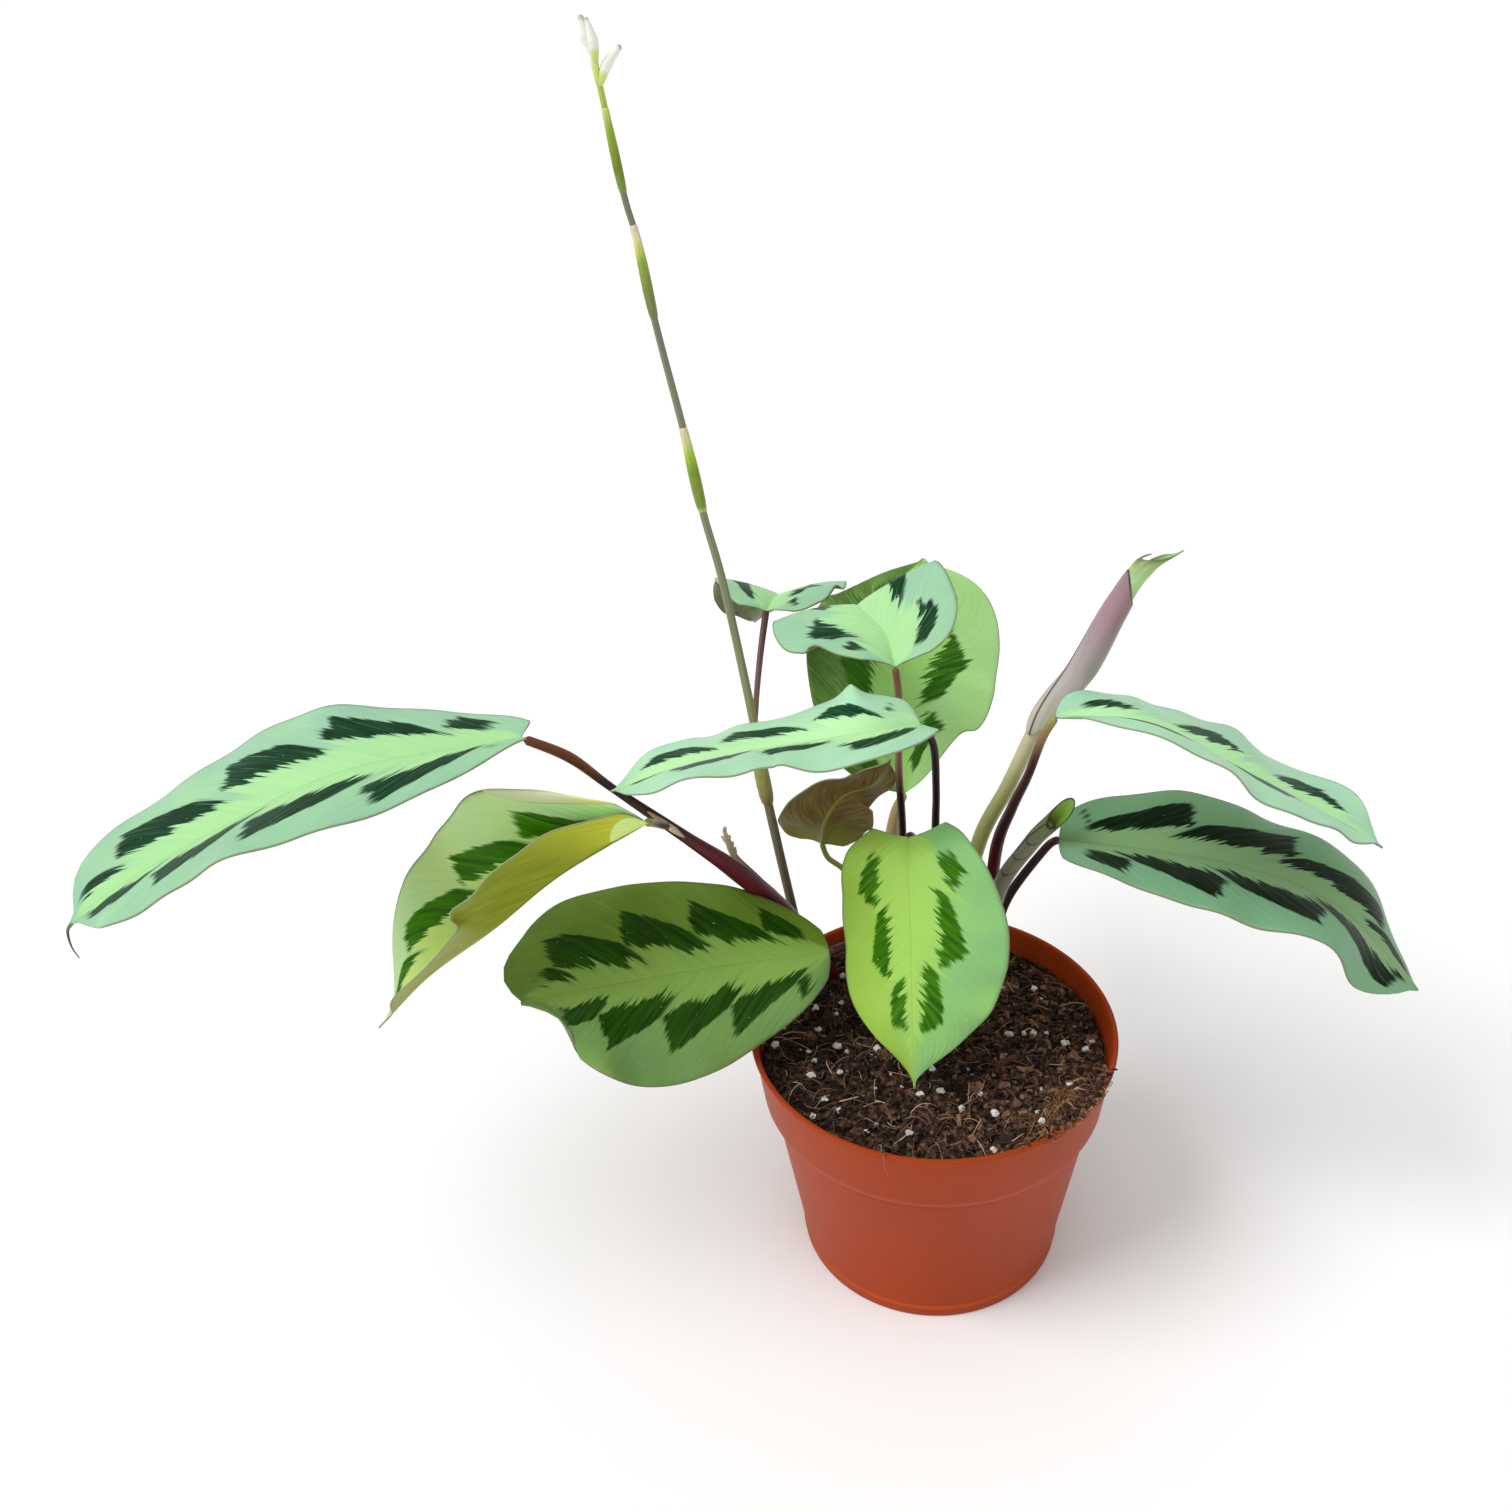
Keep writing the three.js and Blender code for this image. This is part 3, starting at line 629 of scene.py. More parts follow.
# %% Leaf stalks
BROWN, BLACK_BROWN, TAN = paint(74, 42, 38), paint(44, 26, 26), paint(160, 124, 92)
BURGUNDY, RUST, YELLOW_GREEN = paint(98, 16, 34), paint(120, 56, 34), paint(160, 160, 78)
DARK = [(0, BURGUNDY), (0.3, BROWN), (0.75, BLACK_BROWN), (1, BROWN)]
ROOTED = 76  # millimetres: the stalks start this high, inside the potting mix
STALKS = {
    "far_left": (
        [(-33, 35, ROOTED), (-41, 29, 96), (-50, 23, 117), (-64, 13, 141), (-77, 6, 158),
         (-99, 5, 177), (-109, -4, 194), (-119, -16, 208)],
        [2.0, 2.8, 3.3, 3.1, 2.0, 1.3, 1.7, 1.4], "dark_stalk",
        [(0, BURGUNDY), (0.56, BURGUNDY), (0.59, BROWN), (0.78, BLACK_BROWN), (0.82, RUST),
         (1, RUST)]),
    "left_folded": (
        [(-83, 5.6, 163), (-85, -3, 170), (-86, -11, 176)], [1.3, 1.2, 1.3], "dark_stalk",
        [(0, BROWN), (0.5, BROWN), (1, YELLOW_GREEN)]),
    "front_left": (
        [(-14, 24, ROOTED), (-15, 20, 97), (-22, 8, 117), (-33, -3, 122)],
        [1.5, 1.5, 1.4, 1.3], "dark_stalk", DARK),
    "mid_left": (
        [(0, 34, ROOTED), (0, 35, 112), (0, 29, 151), (0, 22, 168), (-1, 16, 188), (-5, 13, 197)],
        [1.6, 1.5, 1.3, 1.2, 1.2, 1.2], "dark_stalk", [(0, BLACK_BROWN), (1, BLACK_BROWN)]),
    "front": (
        [(-6, 20, ROOTED), (-6, 24, 108), (-6, 21, 138), (-7, 10, 157.5), (-8, 0, 165.5)],
        [1.5, 1.5, 1.3, 1.2, 1.2], "dark_stalk", DARK),
    "right_lower": (
        [(19, 27, ROOTED), (21, 27, 105), (24, 26, 123), (35, 25, 144), (39, 21, 151)],
        [1.8, 1.7, 1.6, 1.4, 1.3], "dark_stalk", DARK),
    "right_upper": (
        [(13, 34, ROOTED), (18, 34, 105), (20, 33, 138), (24, 26, 159), (28, 19, 176),
         (31, 10, 195), (34, 4, 206)],
        [2.2, 2.2, 2.1, 1.7, 1.4, 1.3, 1.2], "dark_stalk",
        [(0, BURGUNDY), (0.35, BURGUNDY), (0.6, BROWN), (0.82, BROWN), (0.92, TAN),
         (1, YELLOW_GREEN)]),
    "upper_middle": (
        [(-9, 40, ROOTED), (-11, 42, 115), (-11, 40, 141), (-12, 34, 168), (-12, 30, 196),
         (-13, 26, 210)],
        [1.6, 1.5, 1.3, 1.2, 1.3, 1.2], "tan_stalk",
        [(0, BROWN), (0.6, BLACK_BROWN), (0.72, TAN), (1, paint(120, 88, 58))]),
    "upper_left": (
        [(-61, 53, 170), (-60, 58, 183), (-59, 66, 194), (-58, 77, 203)],
        [1, 1, 1.1, 1.2], "tan_stalk",
        [(0, TAN), (0.4, paint(128, 100, 96)), (1, BROWN)]),
    "back_upright": (
        [(-16, 48, ROOTED), (-16, 53, 93), (-16, 63, 114), (-14, 69, 127), (-11, 72, 134)],
        [1.8, 2, 2.6, 2.2, 1.3], "tan_stalk",
        [(0, BROWN), (0.4, TAN), (0.8, paint(176, 148, 108)), (1, YELLOW_GREEN)]),
    "low_back": (
        [(-22, 38, ROOTED), (-24, 42, 98), (-30, 47, 115), (-37, 49, 121), (-39, 48, 128)],
        [1.2, 1.1, 1, 1, 1], "green_stalk", [(0, BROWN), (0.5, YELLOW_GREEN), (1, YELLOW_GREEN)]),
}
for name, (points, radii, slot, stops) in STALKS.items():
    add_stalk("stalk_" + name, "petiole_" + name, slot, points, radii, stops)
print("leaf stalks:", len(STALKS))

# %% [markdown]
# ## The leaves that are still rolled up
#
# A new leaf comes up as a tight roll on its own stalk. It is a sheet wound a little more
# than once round, so it has a seam, an open slanting mouth, and a tip that stands out over
# one side of it. A solid cone would be quicker to make but would miss all three, so a grid
# is wound round the stalk's line and given a thickness.

# %% Rolled leaves
def roll_rule(points, radii, first, last, turns, twist, seam_at, cut, tip_at, slant=0.0):
    points = np.array(points, float)
    run = distances(points)
    line = smooth_line(points)
    heading = unit(np.gradient(line, axis=0))

    def rule(x, v):
        turn = seam_at + twist * x + (v + 1) * math.pi * turns
        shorter = cut * (1 - np.cos(turn - tip_at)) / 2
        lifted = slant * (1 - np.cos(turn - 0.8)) / 2 * (1 - x)
        s = first + (last - first) * x * (1 - shorter) + lifted
        tangent = unit(read(heading, s))
        out = unit(np.cross(tangent, np.array([0.0, 1.0, 0.0])))
        across = np.cross(tangent, out)
        radius = np.interp(s, run / run[-1], radii) * MM
        radius = radius * (1.04 - 0.22 * (v + 1) / 2)
        return ring_around(read(line, s), out, across, turn, radius)

    return rule


def roll_material(name, stops, edge, rings=()):
    recipe = Recipe(name, 0.4, Specular_IOR_Level=0.5)
    along, around = recipe.uv()
    where = recipe.stretched(along, 3.0, around, 22.0)
    streaks = recipe.grain(where, 1.0, 3.0)
    colour = recipe.blend(along, stops)
    flush = recipe.times(recipe.rise(streaks, 0.4, 0.8), 0.3)
    colour = recipe.mix(flush, colour, paint(120, 90, 96))
    rim = recipe.maths("ABSOLUTE", recipe.times_plus(around, 2.0, -1.0))
    colour = recipe.mix(recipe.rise(rim, 0.95, 0.975), colour, edge)
    colour = recipe.mix(recipe.rise(along, 0.982, 0.992), colour, edge)
    for ring in rings:
        bow = recipe.maths("SINE", recipe.times(around, 7.0))
        off = recipe.maths("ABSOLUTE", recipe.minus(recipe.times_plus(bow, 0.03, along), ring))
        colour = recipe.mix(recipe.times(recipe.rise(off, 0.014, 0.006), 0.7), colour, edge)
    return recipe.finish(colour, streaks, 0.00015, 0.4)


ROLL_THICKNESS = 0.35 * MM


def rolled(name, node, rows, columns, rule, outside, inside):
    roll = shaped(name, rows, columns, rule)
    dress(roll, node, "rolled_blade", outside, inside)
    apply_modifier(roll, "SOLIDIFY", thickness=ROLL_THICKNESS, offset=0.0, material_offset=1)


TALL = [(6, 42, ROOTED), (10, 41, 108), (15, 38, 139), (23, 33, 163), (32, 26, 193),
        (43, 24, 212), (50.5, 21, 232), (57, 19, 246), (67, 18, 252)]
TALL_RADII = [2.4, 2.5, 2.6, 3, 4.2, 4.5, 3.8, 2.8, 0.4]
MOUTH_RADII = [2.4, 2.5, 2.6, 2.7, 2.7, 3, 2.8, 3, 0.25]
PLUM, MOUTH_EDGE = paint(84, 54, 74), paint(110, 130, 80)
add_stalk(
    "rolled_stalk_tall", "rolled_leaf_tall", "rolled_blade",
    TALL[:7], [2.4, 2.5, 2.6, 2.5, 2.4, 2, 1.6],
    [(0, paint(176, 190, 84)), (0.4, paint(206, 216, 126)), (0.6, paint(212, 208, 150)),
     (0.72, paint(202, 190, 168)), (1, paint(170, 186, 150))], streak=0.15)
rolled(
    "rolled_blade_tall", "rolled_leaf_tall", 90, 64,
    roll_rule(TALL, TALL_RADII, first=0.6, last=0.925, turns=1.12, twist=-2.0, seam_at=1.0,
              cut=0.16, tip_at=0.2, slant=0.13),
    roll_material(
        "rolled leaf outside",
        [(0, paint(190, 194, 164)), (0.3, paint(178, 172, 166)), (0.6, paint(166, 146, 150)),
         (0.82, paint(160, 122, 132)), (1, paint(140, 112, 116))], PLUM),
    roll_material(
        "rolled leaf inside", [(0, paint(150, 190, 130)), (1, paint(170, 206, 140))], PLUM))
rolled(
    "rolled_mouth_tall", "rolled_leaf_tall", 50, 48,
    roll_rule(TALL, MOUTH_RADII, first=0.84, last=1.0, turns=0.9, twist=0.2, seam_at=-1.1,
              cut=0.34, tip_at=math.pi),
    roll_material(
        "rolled mouth outside",
        [(0, paint(166, 196, 140)), (0.6, paint(172, 210, 146)), (0.85, paint(150, 180, 110)),
         (1, paint(84, 84, 50))], MOUTH_EDGE),
    roll_material(
        "rolled mouth inside",
        [(0, paint(150, 196, 130)), (1, paint(150, 190, 120))], MOUTH_EDGE))
print("tall roll:", len(TALL), "points from the mix to its tip")

# %% [markdown]
# ## The small roll
#
# The youngest leaf is a shorter, greener roll that still stands in its sheath. It could be
# a smaller copy of the tall one, but its seam twists the other way and it ends in a round
# mouth, so it is wound again with numbers of its own. Thin dark rings cross it.

# %% The small roll
SMALL = [(17, 18, ROOTED), (18, 18, 105), (21, 19, 132), (30, 18.5, 151), (36, 17.5, 160),
         (41.5, 16, 168)]
add_stalk(
    "rolled_sheath_small", "rolled_leaf_small", "rolled_blade",
    SMALL[:5], [2, 2.2, 2.4, 2.4, 2.0],
    [(0, paint(120, 112, 84)), (0.6, paint(132, 128, 100)), (1, paint(138, 134, 106))],
    streak=0.3)
rolled(
    "rolled_blade_small", "rolled_leaf_small", 60, 48,
    roll_rule(SMALL, [2, 2.2, 2.4, 2.7, 2.8, 2.8], first=0.46, last=1.0, turns=1.1, twist=1.4,
              seam_at=-0.6, cut=0.2, tip_at=4.5, slant=0.14),
    roll_material(
        "small roll outside",
        [(0, paint(132, 128, 104)), (0.6, paint(126, 122, 104)), (0.9, paint(104, 116, 72)),
         (1, paint(96, 124, 54))], paint(52, 40, 44), rings=(0.42, 0.6, 0.78)),
    roll_material(
        "small roll inside",
        [(0, paint(110, 150, 40)), (1, paint(130, 172, 60))], paint(80, 100, 50)))
print("small roll:", len(SMALL), "points from the mix to its mouth")

# %% [markdown]
# ## The flower stalk
#
# One tall thin stalk leans back to the left. Green bracts sheathe it at the joints, each
# tight at the bottom, a little swollen, and cream where it ends. The bracts could be one
# piece with the stalk; apart, each has its own colours.

# %% Flower stalk and bracts
STEM = [(-42, 33, ROOTED), (-48, 34, 107), (-58, 44, 158), (-60, 49, 172), (-69, 60, 219),
        (-75, 65, 243), (-80, 69, 269), (-87, 74, 301), (-91, 77, 325), (-94, 78, 338),
        (-98, 80, 364), (-99, 80, 370)]
STEM_RADII = [1.5, 1.6, 1.6, 1.5, 1.35, 1.25, 1.2, 1.1, 1.0, 1.0, 0.95, 0.9]
add_stalk(
    "flower_stem", "flower_stalk", "green_stalk", STEM, STEM_RADII,
    [(0, paint(92, 78, 62)), (0.22, paint(110, 104, 76)), (0.36, paint(144, 146, 100)),
     (0.6, paint(138, 138, 112)), (0.92, paint(128, 126, 108)), (0.98, paint(188, 200, 84)),
     (1, paint(196, 208, 96))], rows=200)
stem_line = smooth_line(STEM)
BRACTS = {  # heights of the bottom and the top, thickest radius, and colours from the bottom up
    "at_leaf": (
        148, 171, 2.6,
        [(0, paint(120, 96, 60)), (0.25, paint(150, 140, 80)), (0.7, paint(150, 164, 78)),
         (1, paint(186, 190, 120))]),
    "lower": (
        243.5, 273, 1.9,
        [(0, paint(224, 232, 150)), (0.09, paint(130, 150, 56)), (0.5, paint(128, 154, 44)),
         (0.7, paint(176, 204, 62)), (0.8, paint(220, 214, 150)), (1, paint(220, 204, 176))]),
    "middle": (
        303, 331, 1.65,
        [(0, paint(120, 130, 80)), (0.3, paint(124, 142, 62)), (0.6, paint(146, 170, 66)),
         (0.74, paint(206, 212, 104)), (0.84, paint(232, 220, 172)), (1, paint(212, 202, 180))]),
    "upper": (
        338, 364, 1.45,
        [(0, paint(136, 152, 74)), (0.3, paint(114, 136, 34)), (0.7, paint(144, 172, 48)),
         (1, paint(210, 220, 130))]),
}
for name, (bottom, top, radius, stops) in BRACTS.items():
    inside = (stem_line[:, 2] >= (bottom - 1) * MM) & (stem_line[:, 2] <= (top + 1) * MM)
    points = stem_line[inside][::4] / MM
    slim = np.interp(points[0][2], [q[2] for q in STEM], STEM_RADII) + 0.15
    swelling = [slim, 0.93 * radius, radius, radius, 0.96 * radius, 0.86 * radius,
                0.8 * radius, slim]
    radii = read(swelling, np.linspace(0, 1, len(points)))
    add_stalk("bract_sleeve_" + name, "bract_" + name, "bract", points, radii, stops,
              rows=40, streak=0.35)
print("bracts:", len(BRACTS))

# %% [markdown]
# ## The buds
#
# Two white buds stand at the top of the flower stalk, cream where they join it. They could
# be egg shapes made from spheres. A short swollen stalk leans and bends as a bud does, and
# the tall bud's loose petal is one more of them.

# %% The two buds
WHITE, CREAM = paint(236, 238, 226), paint(206, 214, 140)
BUD = [(0, CREAM), (0.25, paint(206, 220, 120)), (0.4, WHITE), (0.9, WHITE),
       (1, paint(160, 156, 150))]
BUD_PIECES = {
    "bud_tall": (
        "flower_bud_tall", [0.9, 1.3, 1.9, 0.7],
        [(-98.8, 80, 367.6), (-99.7, 80, 375.5), (-101.4, 80, 380.6), (-102.2, 80, 385.8)]),
    "bud_tall_petal": (
        "flower_bud_tall", [0.9, 1.6, 0.5],
        [(-99.1, 79.6, 373), (-99, 79, 379), (-100.4, 79, 385.2)]),
    "bud_short": (
        "flower_bud_short", [0.8, 1.7, 0.8],
        [(-98.6, 80, 367), (-95.8, 80, 372.8), (-91.4, 80, 377.6)]),
}
for name, (node, radii, points) in BUD_PIECES.items():
    add_stalk(name, node, "white_bud", points, radii, BUD, streak=0.1)
print("bud pieces:", len(BUD_PIECES))

# %% [markdown]
# ## The dried flower spike
#
# An old spike stands beside the left stalk, thin and brown, with papery remains on top.
# The remains could be cut out of thin sheet; short thin stalks that lean at random look
# the same at this size, and need nothing new.

# %% Dried spike
DRY = [(0, paint(84, 54, 46)), (0.7, paint(104, 78, 64)), (0.84, paint(176, 156, 122)),
       (1, paint(214, 200, 168))]
PAPERY = [(0, paint(150, 128, 98)), (0.5, paint(198, 182, 146)), (1, paint(222, 210, 182))]
PAPERY_SCALES = 7
add_stalk(
    "dried_stem", "dried_flower_spike", "dried_stalk",
    [(-45, 22, ROOTED), (-46, 26, 98), (-51, 28, 116.5), (-58, 24, 129.5), (-65, 22, 139.5),
     (-67, 22, 145), (-68.5, 22, 151)],
    [0.8, 0.9, 0.9, 0.9, 1.1, 1.2, 0.5], DRY, roughness=0.8)
for i in range(PAPERY_SCALES):
    lean = dice.normal(size=3) * (0.9, 0.9, 0.8) + (-1.4 if i % 2 else 0.4, 0, 3.4)
    foot = np.array((-65.6 - 0.45 * i, 22, 139 + 1.7 * i))
    add_stalk(
        f"papery_scale_{i + 1}", "dried_flower_spike", "dried_stalk",
        [foot, foot + 0.5 * lean + (0, 0, 0.6), foot + lean], [0.5, 0.75, 0.2],
        PAPERY, rows=16, sides=8, roughness=0.8)
print("papery scales:", PAPERY_SCALES)

# %% [markdown]
# ## Torn sheath, drip tip and curled edge
#
# Three thin things belong to the left leaves. The big stalk's sheath has torn, and shows a
# cream edge. The far leaf ends in a dry tip as thin as a hair. The folded leaf's margin
# curls back, whitish, near its base. They could be painted on, but each stands out past
# the outline. The first two are thin stalks, and the third is a strip laid along the margin.

# %% Torn sheath, drip tip and curled edge
SHEATH_CREAM = [(0, paint(190, 160, 130)), (0.4, paint(232, 218, 186)), (1, paint(190, 150, 90))]
add_stalk(
    "torn_sheath_edge", "petiole_far_left", "dark_stalk",
    [(-77.5, 4.4, 159.4), (-81, 4.2, 162.6), (-85, 4, 166.2), (-89, 3.8, 169.8)],
    [0.3, 1.1, 0.9, 0.3], SHEATH_CREAM, rows=40, sides=10, roughness=0.7)
add_stalk(
    "drip_tip", "leaf_far_left", "patterned_blade",
    [(-250.4, -53.6, 165.4), (-252, -55, 163), (-251.8, -56, 158), (-250.6, -56, 153.5)],
    [0.7, 0.45, 0.25, 0.15],
    [(0, paint(120, 150, 110)), (0.4, paint(90, 80, 60)), (1, paint(70, 50, 44))],
    rows=30, sides=8)
EDGE_START, EDGE_SHARE, EDGE_INNER = 0.03, 0.27, 0.84
EDGE_CREAM = [(0, paint(222, 220, 120)), (0.5, paint(246, 242, 206)), (1, paint(214, 224, 164))]
folded_blade = blade_rule(seed=1, **BLADES["left_folded"])


def curled_edge(s, v):
    """A strip beside the folded leaf's upper margin, from its base outwards."""
    place = (EDGE_START + EDGE_SHARE * s) ** (1 / CROWDING)
    margin = folded_blade(place, np.ones_like(s))
    inner = folded_blade(place, np.full_like(s, EDGE_INNER))
    swell = np.sin(np.pi * s)[:, None] ** 0.6
    curl = np.array((0.2, -0.6, 1.0)) * (1.6 * MM) * (1 - v**2)[:, None]
    return margin + (inner - margin) * (0.55 * (v + 1))[:, None] * swell + curl * swell


edge_strip = shaped("curled_edge", 40, 10, curled_edge)
recipe = Recipe("cream leaf edge", 0.45)
along, _ = recipe.uv()
cream = recipe.finish(recipe.blend(along, EDGE_CREAM))
dress(edge_strip, "leaf_left_folded", "yellow_green_blade", cream)
apply_modifier(edge_strip, "SOLIDIFY", thickness=0.4 * MM, offset=0.0)
print("curled edge:", len(edge_strip.data.polygons), "faces")

# %% [markdown]
# ## The pot
#
# A moulded nursery pot is one thin wall of plastic. It could be spun from a drawn profile.
# Here a ring of vertices is pulled up the outside, over the lip, down the inside and closed
# across the floor, so that each height and radius can be read in the order in which the
# wall meets it. A bevel then softens its corners.

# %% Pot
RIM_RADIUS, POT_HEIGHT, FOOT_RADIUS = 60, 90, 44.5
BAND_BOTTOM, BODY_TOP_RADIUS, BAND_BOTTOM_RADIUS = 66, 54.2, 56.4
WALL, FLOOR_TOP, FLOOR_RECESS, HUB_RADIUS = 1.3, 3.6, 1.8, 12
LIP = POT_HEIGHT - 1.6
POT_SIDES, CORNER_ROUNDING = 160, 0.45
POT_PROFILE = [  # radius and height, from the hub under the floor round to the floor's top
    (HUB_RADIUS, 0), (HUB_RADIUS + 1, FLOOR_RECESS), (FOOT_RADIUS - 4, FLOOR_RECESS),
    (FOOT_RADIUS - 3, 0), (FOOT_RADIUS, 0), (FOOT_RADIUS + 0.5, 4.2), (FOOT_RADIUS + 0.1, 5),
    (BODY_TOP_RADIUS - 0.6, BAND_BOTTOM - 2), (BODY_TOP_RADIUS - 0.1, BAND_BOTTOM - 0.9),
    (BAND_BOTTOM_RADIUS - 0.4, BAND_BOTTOM), (BAND_BOTTOM_RADIUS + 0.2, BAND_BOTTOM + 1.4),
    (RIM_RADIUS - 1, LIP - 0.6), (RIM_RADIUS, LIP), (RIM_RADIUS, POT_HEIGHT),
    (RIM_RADIUS - 1.5, POT_HEIGHT), (RIM_RADIUS - 1 - WALL, LIP - 0.6),
    (BAND_BOTTOM_RADIUS - WALL, BAND_BOTTOM + 1.4), (BODY_TOP_RADIUS - WALL, BAND_BOTTOM - 0.6),
    (FOOT_RADIUS + 0.6 - WALL, FLOOR_TOP + 1), (FOOT_RADIUS - 1 - WALL, FLOOR_TOP),
    (HUB_RADIUS, FLOOR_TOP),
]
deselect()
first_radius, first_height = POT_PROFILE[0]
bpy.ops.mesh.primitive_circle_add(
    vertices=POT_SIDES, radius=first_radius * MM, fill_type="NGON",
    location=(0, 0, first_height * MM))
pot = bpy.context.object
pot.name = pot.data.name = "pot_shell"
bpy.ops.object.transform_apply(location=True)
bpy.ops.object.mode_set(mode="EDIT")
bpy.ops.mesh.select_all(action="SELECT")
bpy.ops.mesh.delete(type="ONLY_FACE")
bpy.ops.mesh.select_all(action="SELECT")
for (radius, height), (next_radius, next_height) in zip(POT_PROFILE, POT_PROFILE[1:]):
    grow, rise = next_radius / radius, (next_height - height) * MM
    bpy.ops.mesh.extrude_edges_move(TRANSFORM_OT_translate={"value": (0, 0, rise)})
    bpy.ops.transform.resize(value=(grow, grow, 1), center_override=(0, 0, 0))
bpy.ops.mesh.edge_face_add()
bpy.ops.mesh.select_all(action="SELECT")
bpy.ops.mesh.region_to_loop()
bpy.ops.mesh.edge_face_add()
bpy.ops.mesh.select_all(action="SELECT")
bpy.ops.mesh.normals_make_consistent(inside=False)
bpy.ops.object.mode_set(mode="OBJECT")
apply_modifier(pot, "BEVEL", width=CORNER_ROUNDING * MM, segments=3,
               limit_method="ANGLE", angle_limit=math.radians(20))
print("pot wall:", len(pot.data.polygons), "faces")

# %% [markdown]
# ## The drain holes
#
# Eight round holes in a ring let water out of the floor. They could be left out, since they
# are seen only from below, but the floor would then be wrong. A cylinder is set through
# the floor at each place and cut away from it.

# %% Drain holes
DRAIN_HOLES, DRAIN_HOLE_RADIUS, DRAIN_RING_RADIUS = 8, 4, 28
for i in range(DRAIN_HOLES):
    angle = (i + 0.5) / DRAIN_HOLES * 2 * math.pi
    x, y = DRAIN_RING_RADIUS * MM * math.cos(angle), DRAIN_RING_RADIUS * MM * math.sin(angle)
    deselect()
    bpy.ops.mesh.primitive_cylinder_add(
        vertices=32, radius=DRAIN_HOLE_RADIUS * MM, depth=10 * MM, location=(x, y, FLOOR_TOP * MM))
    drill = bpy.context.object
    apply_modifier(pot, "BOOLEAN", object=drill, operation="DIFFERENCE")
    bpy.data.objects.remove(drill)
deselect()
pot.select_set(True)
bpy.context.view_layer.objects.active = pot
bpy.ops.object.shade_smooth_by_angle(angle=math.radians(35))

print("drain holes:", DRAIN_HOLES)

# %% [markdown]
# ## The pot's plastic
#
# The plastic is an even terracotta colour with a dull sheen. Painted shade darkens it in the
# corner under the band, and painted highlights lighten it where the band's edge and the foot
# catch the light, which a plain colour wouldn't show under soft light. So the height above the
# table picks those painted lines out.

# %% Terracotta plastic
recipe = Recipe("terracotta plastic", 0.4, Specular_IOR_Level=0.07)
where = recipe.place()
cloud = recipe.grain(where, 28.0, 4.0)
specks = recipe.grain(where, 900.0, 2.0)
colour = recipe.mix(cloud, paint(164, 64, 24), paint(150, 56, 20))
height = recipe.split(where)[2]


def between(start, full, fading, end):
    """1 from full to fading and 0 outside start and end, all heights in millimetres."""
    rising = recipe.rise(height, start * MM, full * MM)
    return recipe.times(rising, recipe.rise(height, end * MM, fading * MM))


PAINTED_SHADE_AND_HIGHLIGHTS = [
    # painted shade in the corner under the band
    (between(BAND_BOTTOM - 5, BAND_BOTTOM - 1, BAND_BOTTOM - 0.4, BAND_BOTTOM + 0.2),
     0.55, paint(112, 34, 10)),
    # a painted highlight on the band's lower edge
    (between(BAND_BOTTOM - 0.2, BAND_BOTTOM + 0.6, BAND_BOTTOM + 1, BAND_BOTTOM + 3.4),
     0.35, paint(198, 86, 46)),
    # a painted highlight on the foot's crease
    (between(3.4, 4.2, 5, 5.6), 0.3, paint(206, 96, 54)),
]
# lays the painted shade and painted highlights over the plastic's colour
for line, strength, shade in PAINTED_SHADE_AND_HIGHLIGHTS:
    colour = recipe.mix(recipe.times(line, strength), colour, shade)
colour = recipe.mix(recipe.rise(specks, 0.68, 0.8), colour, paint(140, 56, 36))
dress(pot, "pot", "pot_plastic", recipe.finish(colour, cloud, 0.0004, 0.3))
print("pot:", len(pot.data.polygons), "faces")

# %% [markdown]
# ## The potting mix
#
# Dark peat, heaped a little at the front right, where a small pile of coir lies on the rim.
# The body is a disc with a lumpy top that goes down inside the pot. Its lumps could come
# from a displace modifier; a rule for its height lets the loose bits ask how high the mix
# is where they lie.

# %% Potting mix surface
SOIL_TOP, SOIL_RADIUS = 82, 56
SPILL_REACH, SPILL_WIDTH = 54, 7
SPILL_BEARING, SPILL_SPREAD = -38, 15  # degrees, from +X
TOP_SHARE = 0.86  # the share of the grid's rows that make the top


def spill(x, y):
    """How near a place is to the heap of coir that lies over the rim, at the front right."""
    off_reach = (np.hypot(x, y) - SPILL_REACH) / SPILL_WIDTH
    off_bearing = (np.arctan2(y, x) - math.radians(SPILL_BEARING)) / math.radians(SPILL_SPREAD)
    return np.exp(-(off_reach**2) - off_bearing**2)


def soil_height(x, y):
    heap = 3.5 * np.exp(-((x - 30) ** 2 + (y + 25) ** 2) / 900)
    hollow = 2.5 * np.exp(-((x - 25) ** 2 + (y - 30) ** 2) / 500)
    return SOIL_TOP + heap - hollow + 0.5 * np.sin(x / 5) * np.cos(y / 6) + 6 * spill(x, y)


def lumps(x, y, size, seed):
    places = [Vector((a / size, b / size, seed)) for a, b in zip(x, y)]
    return np.array([noise.fractal(place, 0.8, 2.1, 4) for place in places])


def soil_rule(s, v):
    angle = v * math.pi
    wall = np.array([(SOIL_RADIUS, SOIL_TOP), (54.7, 68), (52.5, 65), (43.4, 5), (0, 4)], float)
    top = s < TOP_SHARE
    place = np.where(top, s / TOP_SHARE, (s - TOP_SHARE) / (1 - TOP_SHARE))
    radius = np.where(top, SOIL_RADIUS * place, read(wall[:, 0], place))
    x, y = radius * np.cos(angle), radius * np.sin(angle)
    rough = lumps(x, y, 6.0, 1.0) * 1.7 + lumps(x, y, 1.8, 5.0) * 0.7
    height = np.where(top, soil_height(x, y) + rough, read(wall[:, 1], place))
    return np.column_stack([x, y, height]) * MM


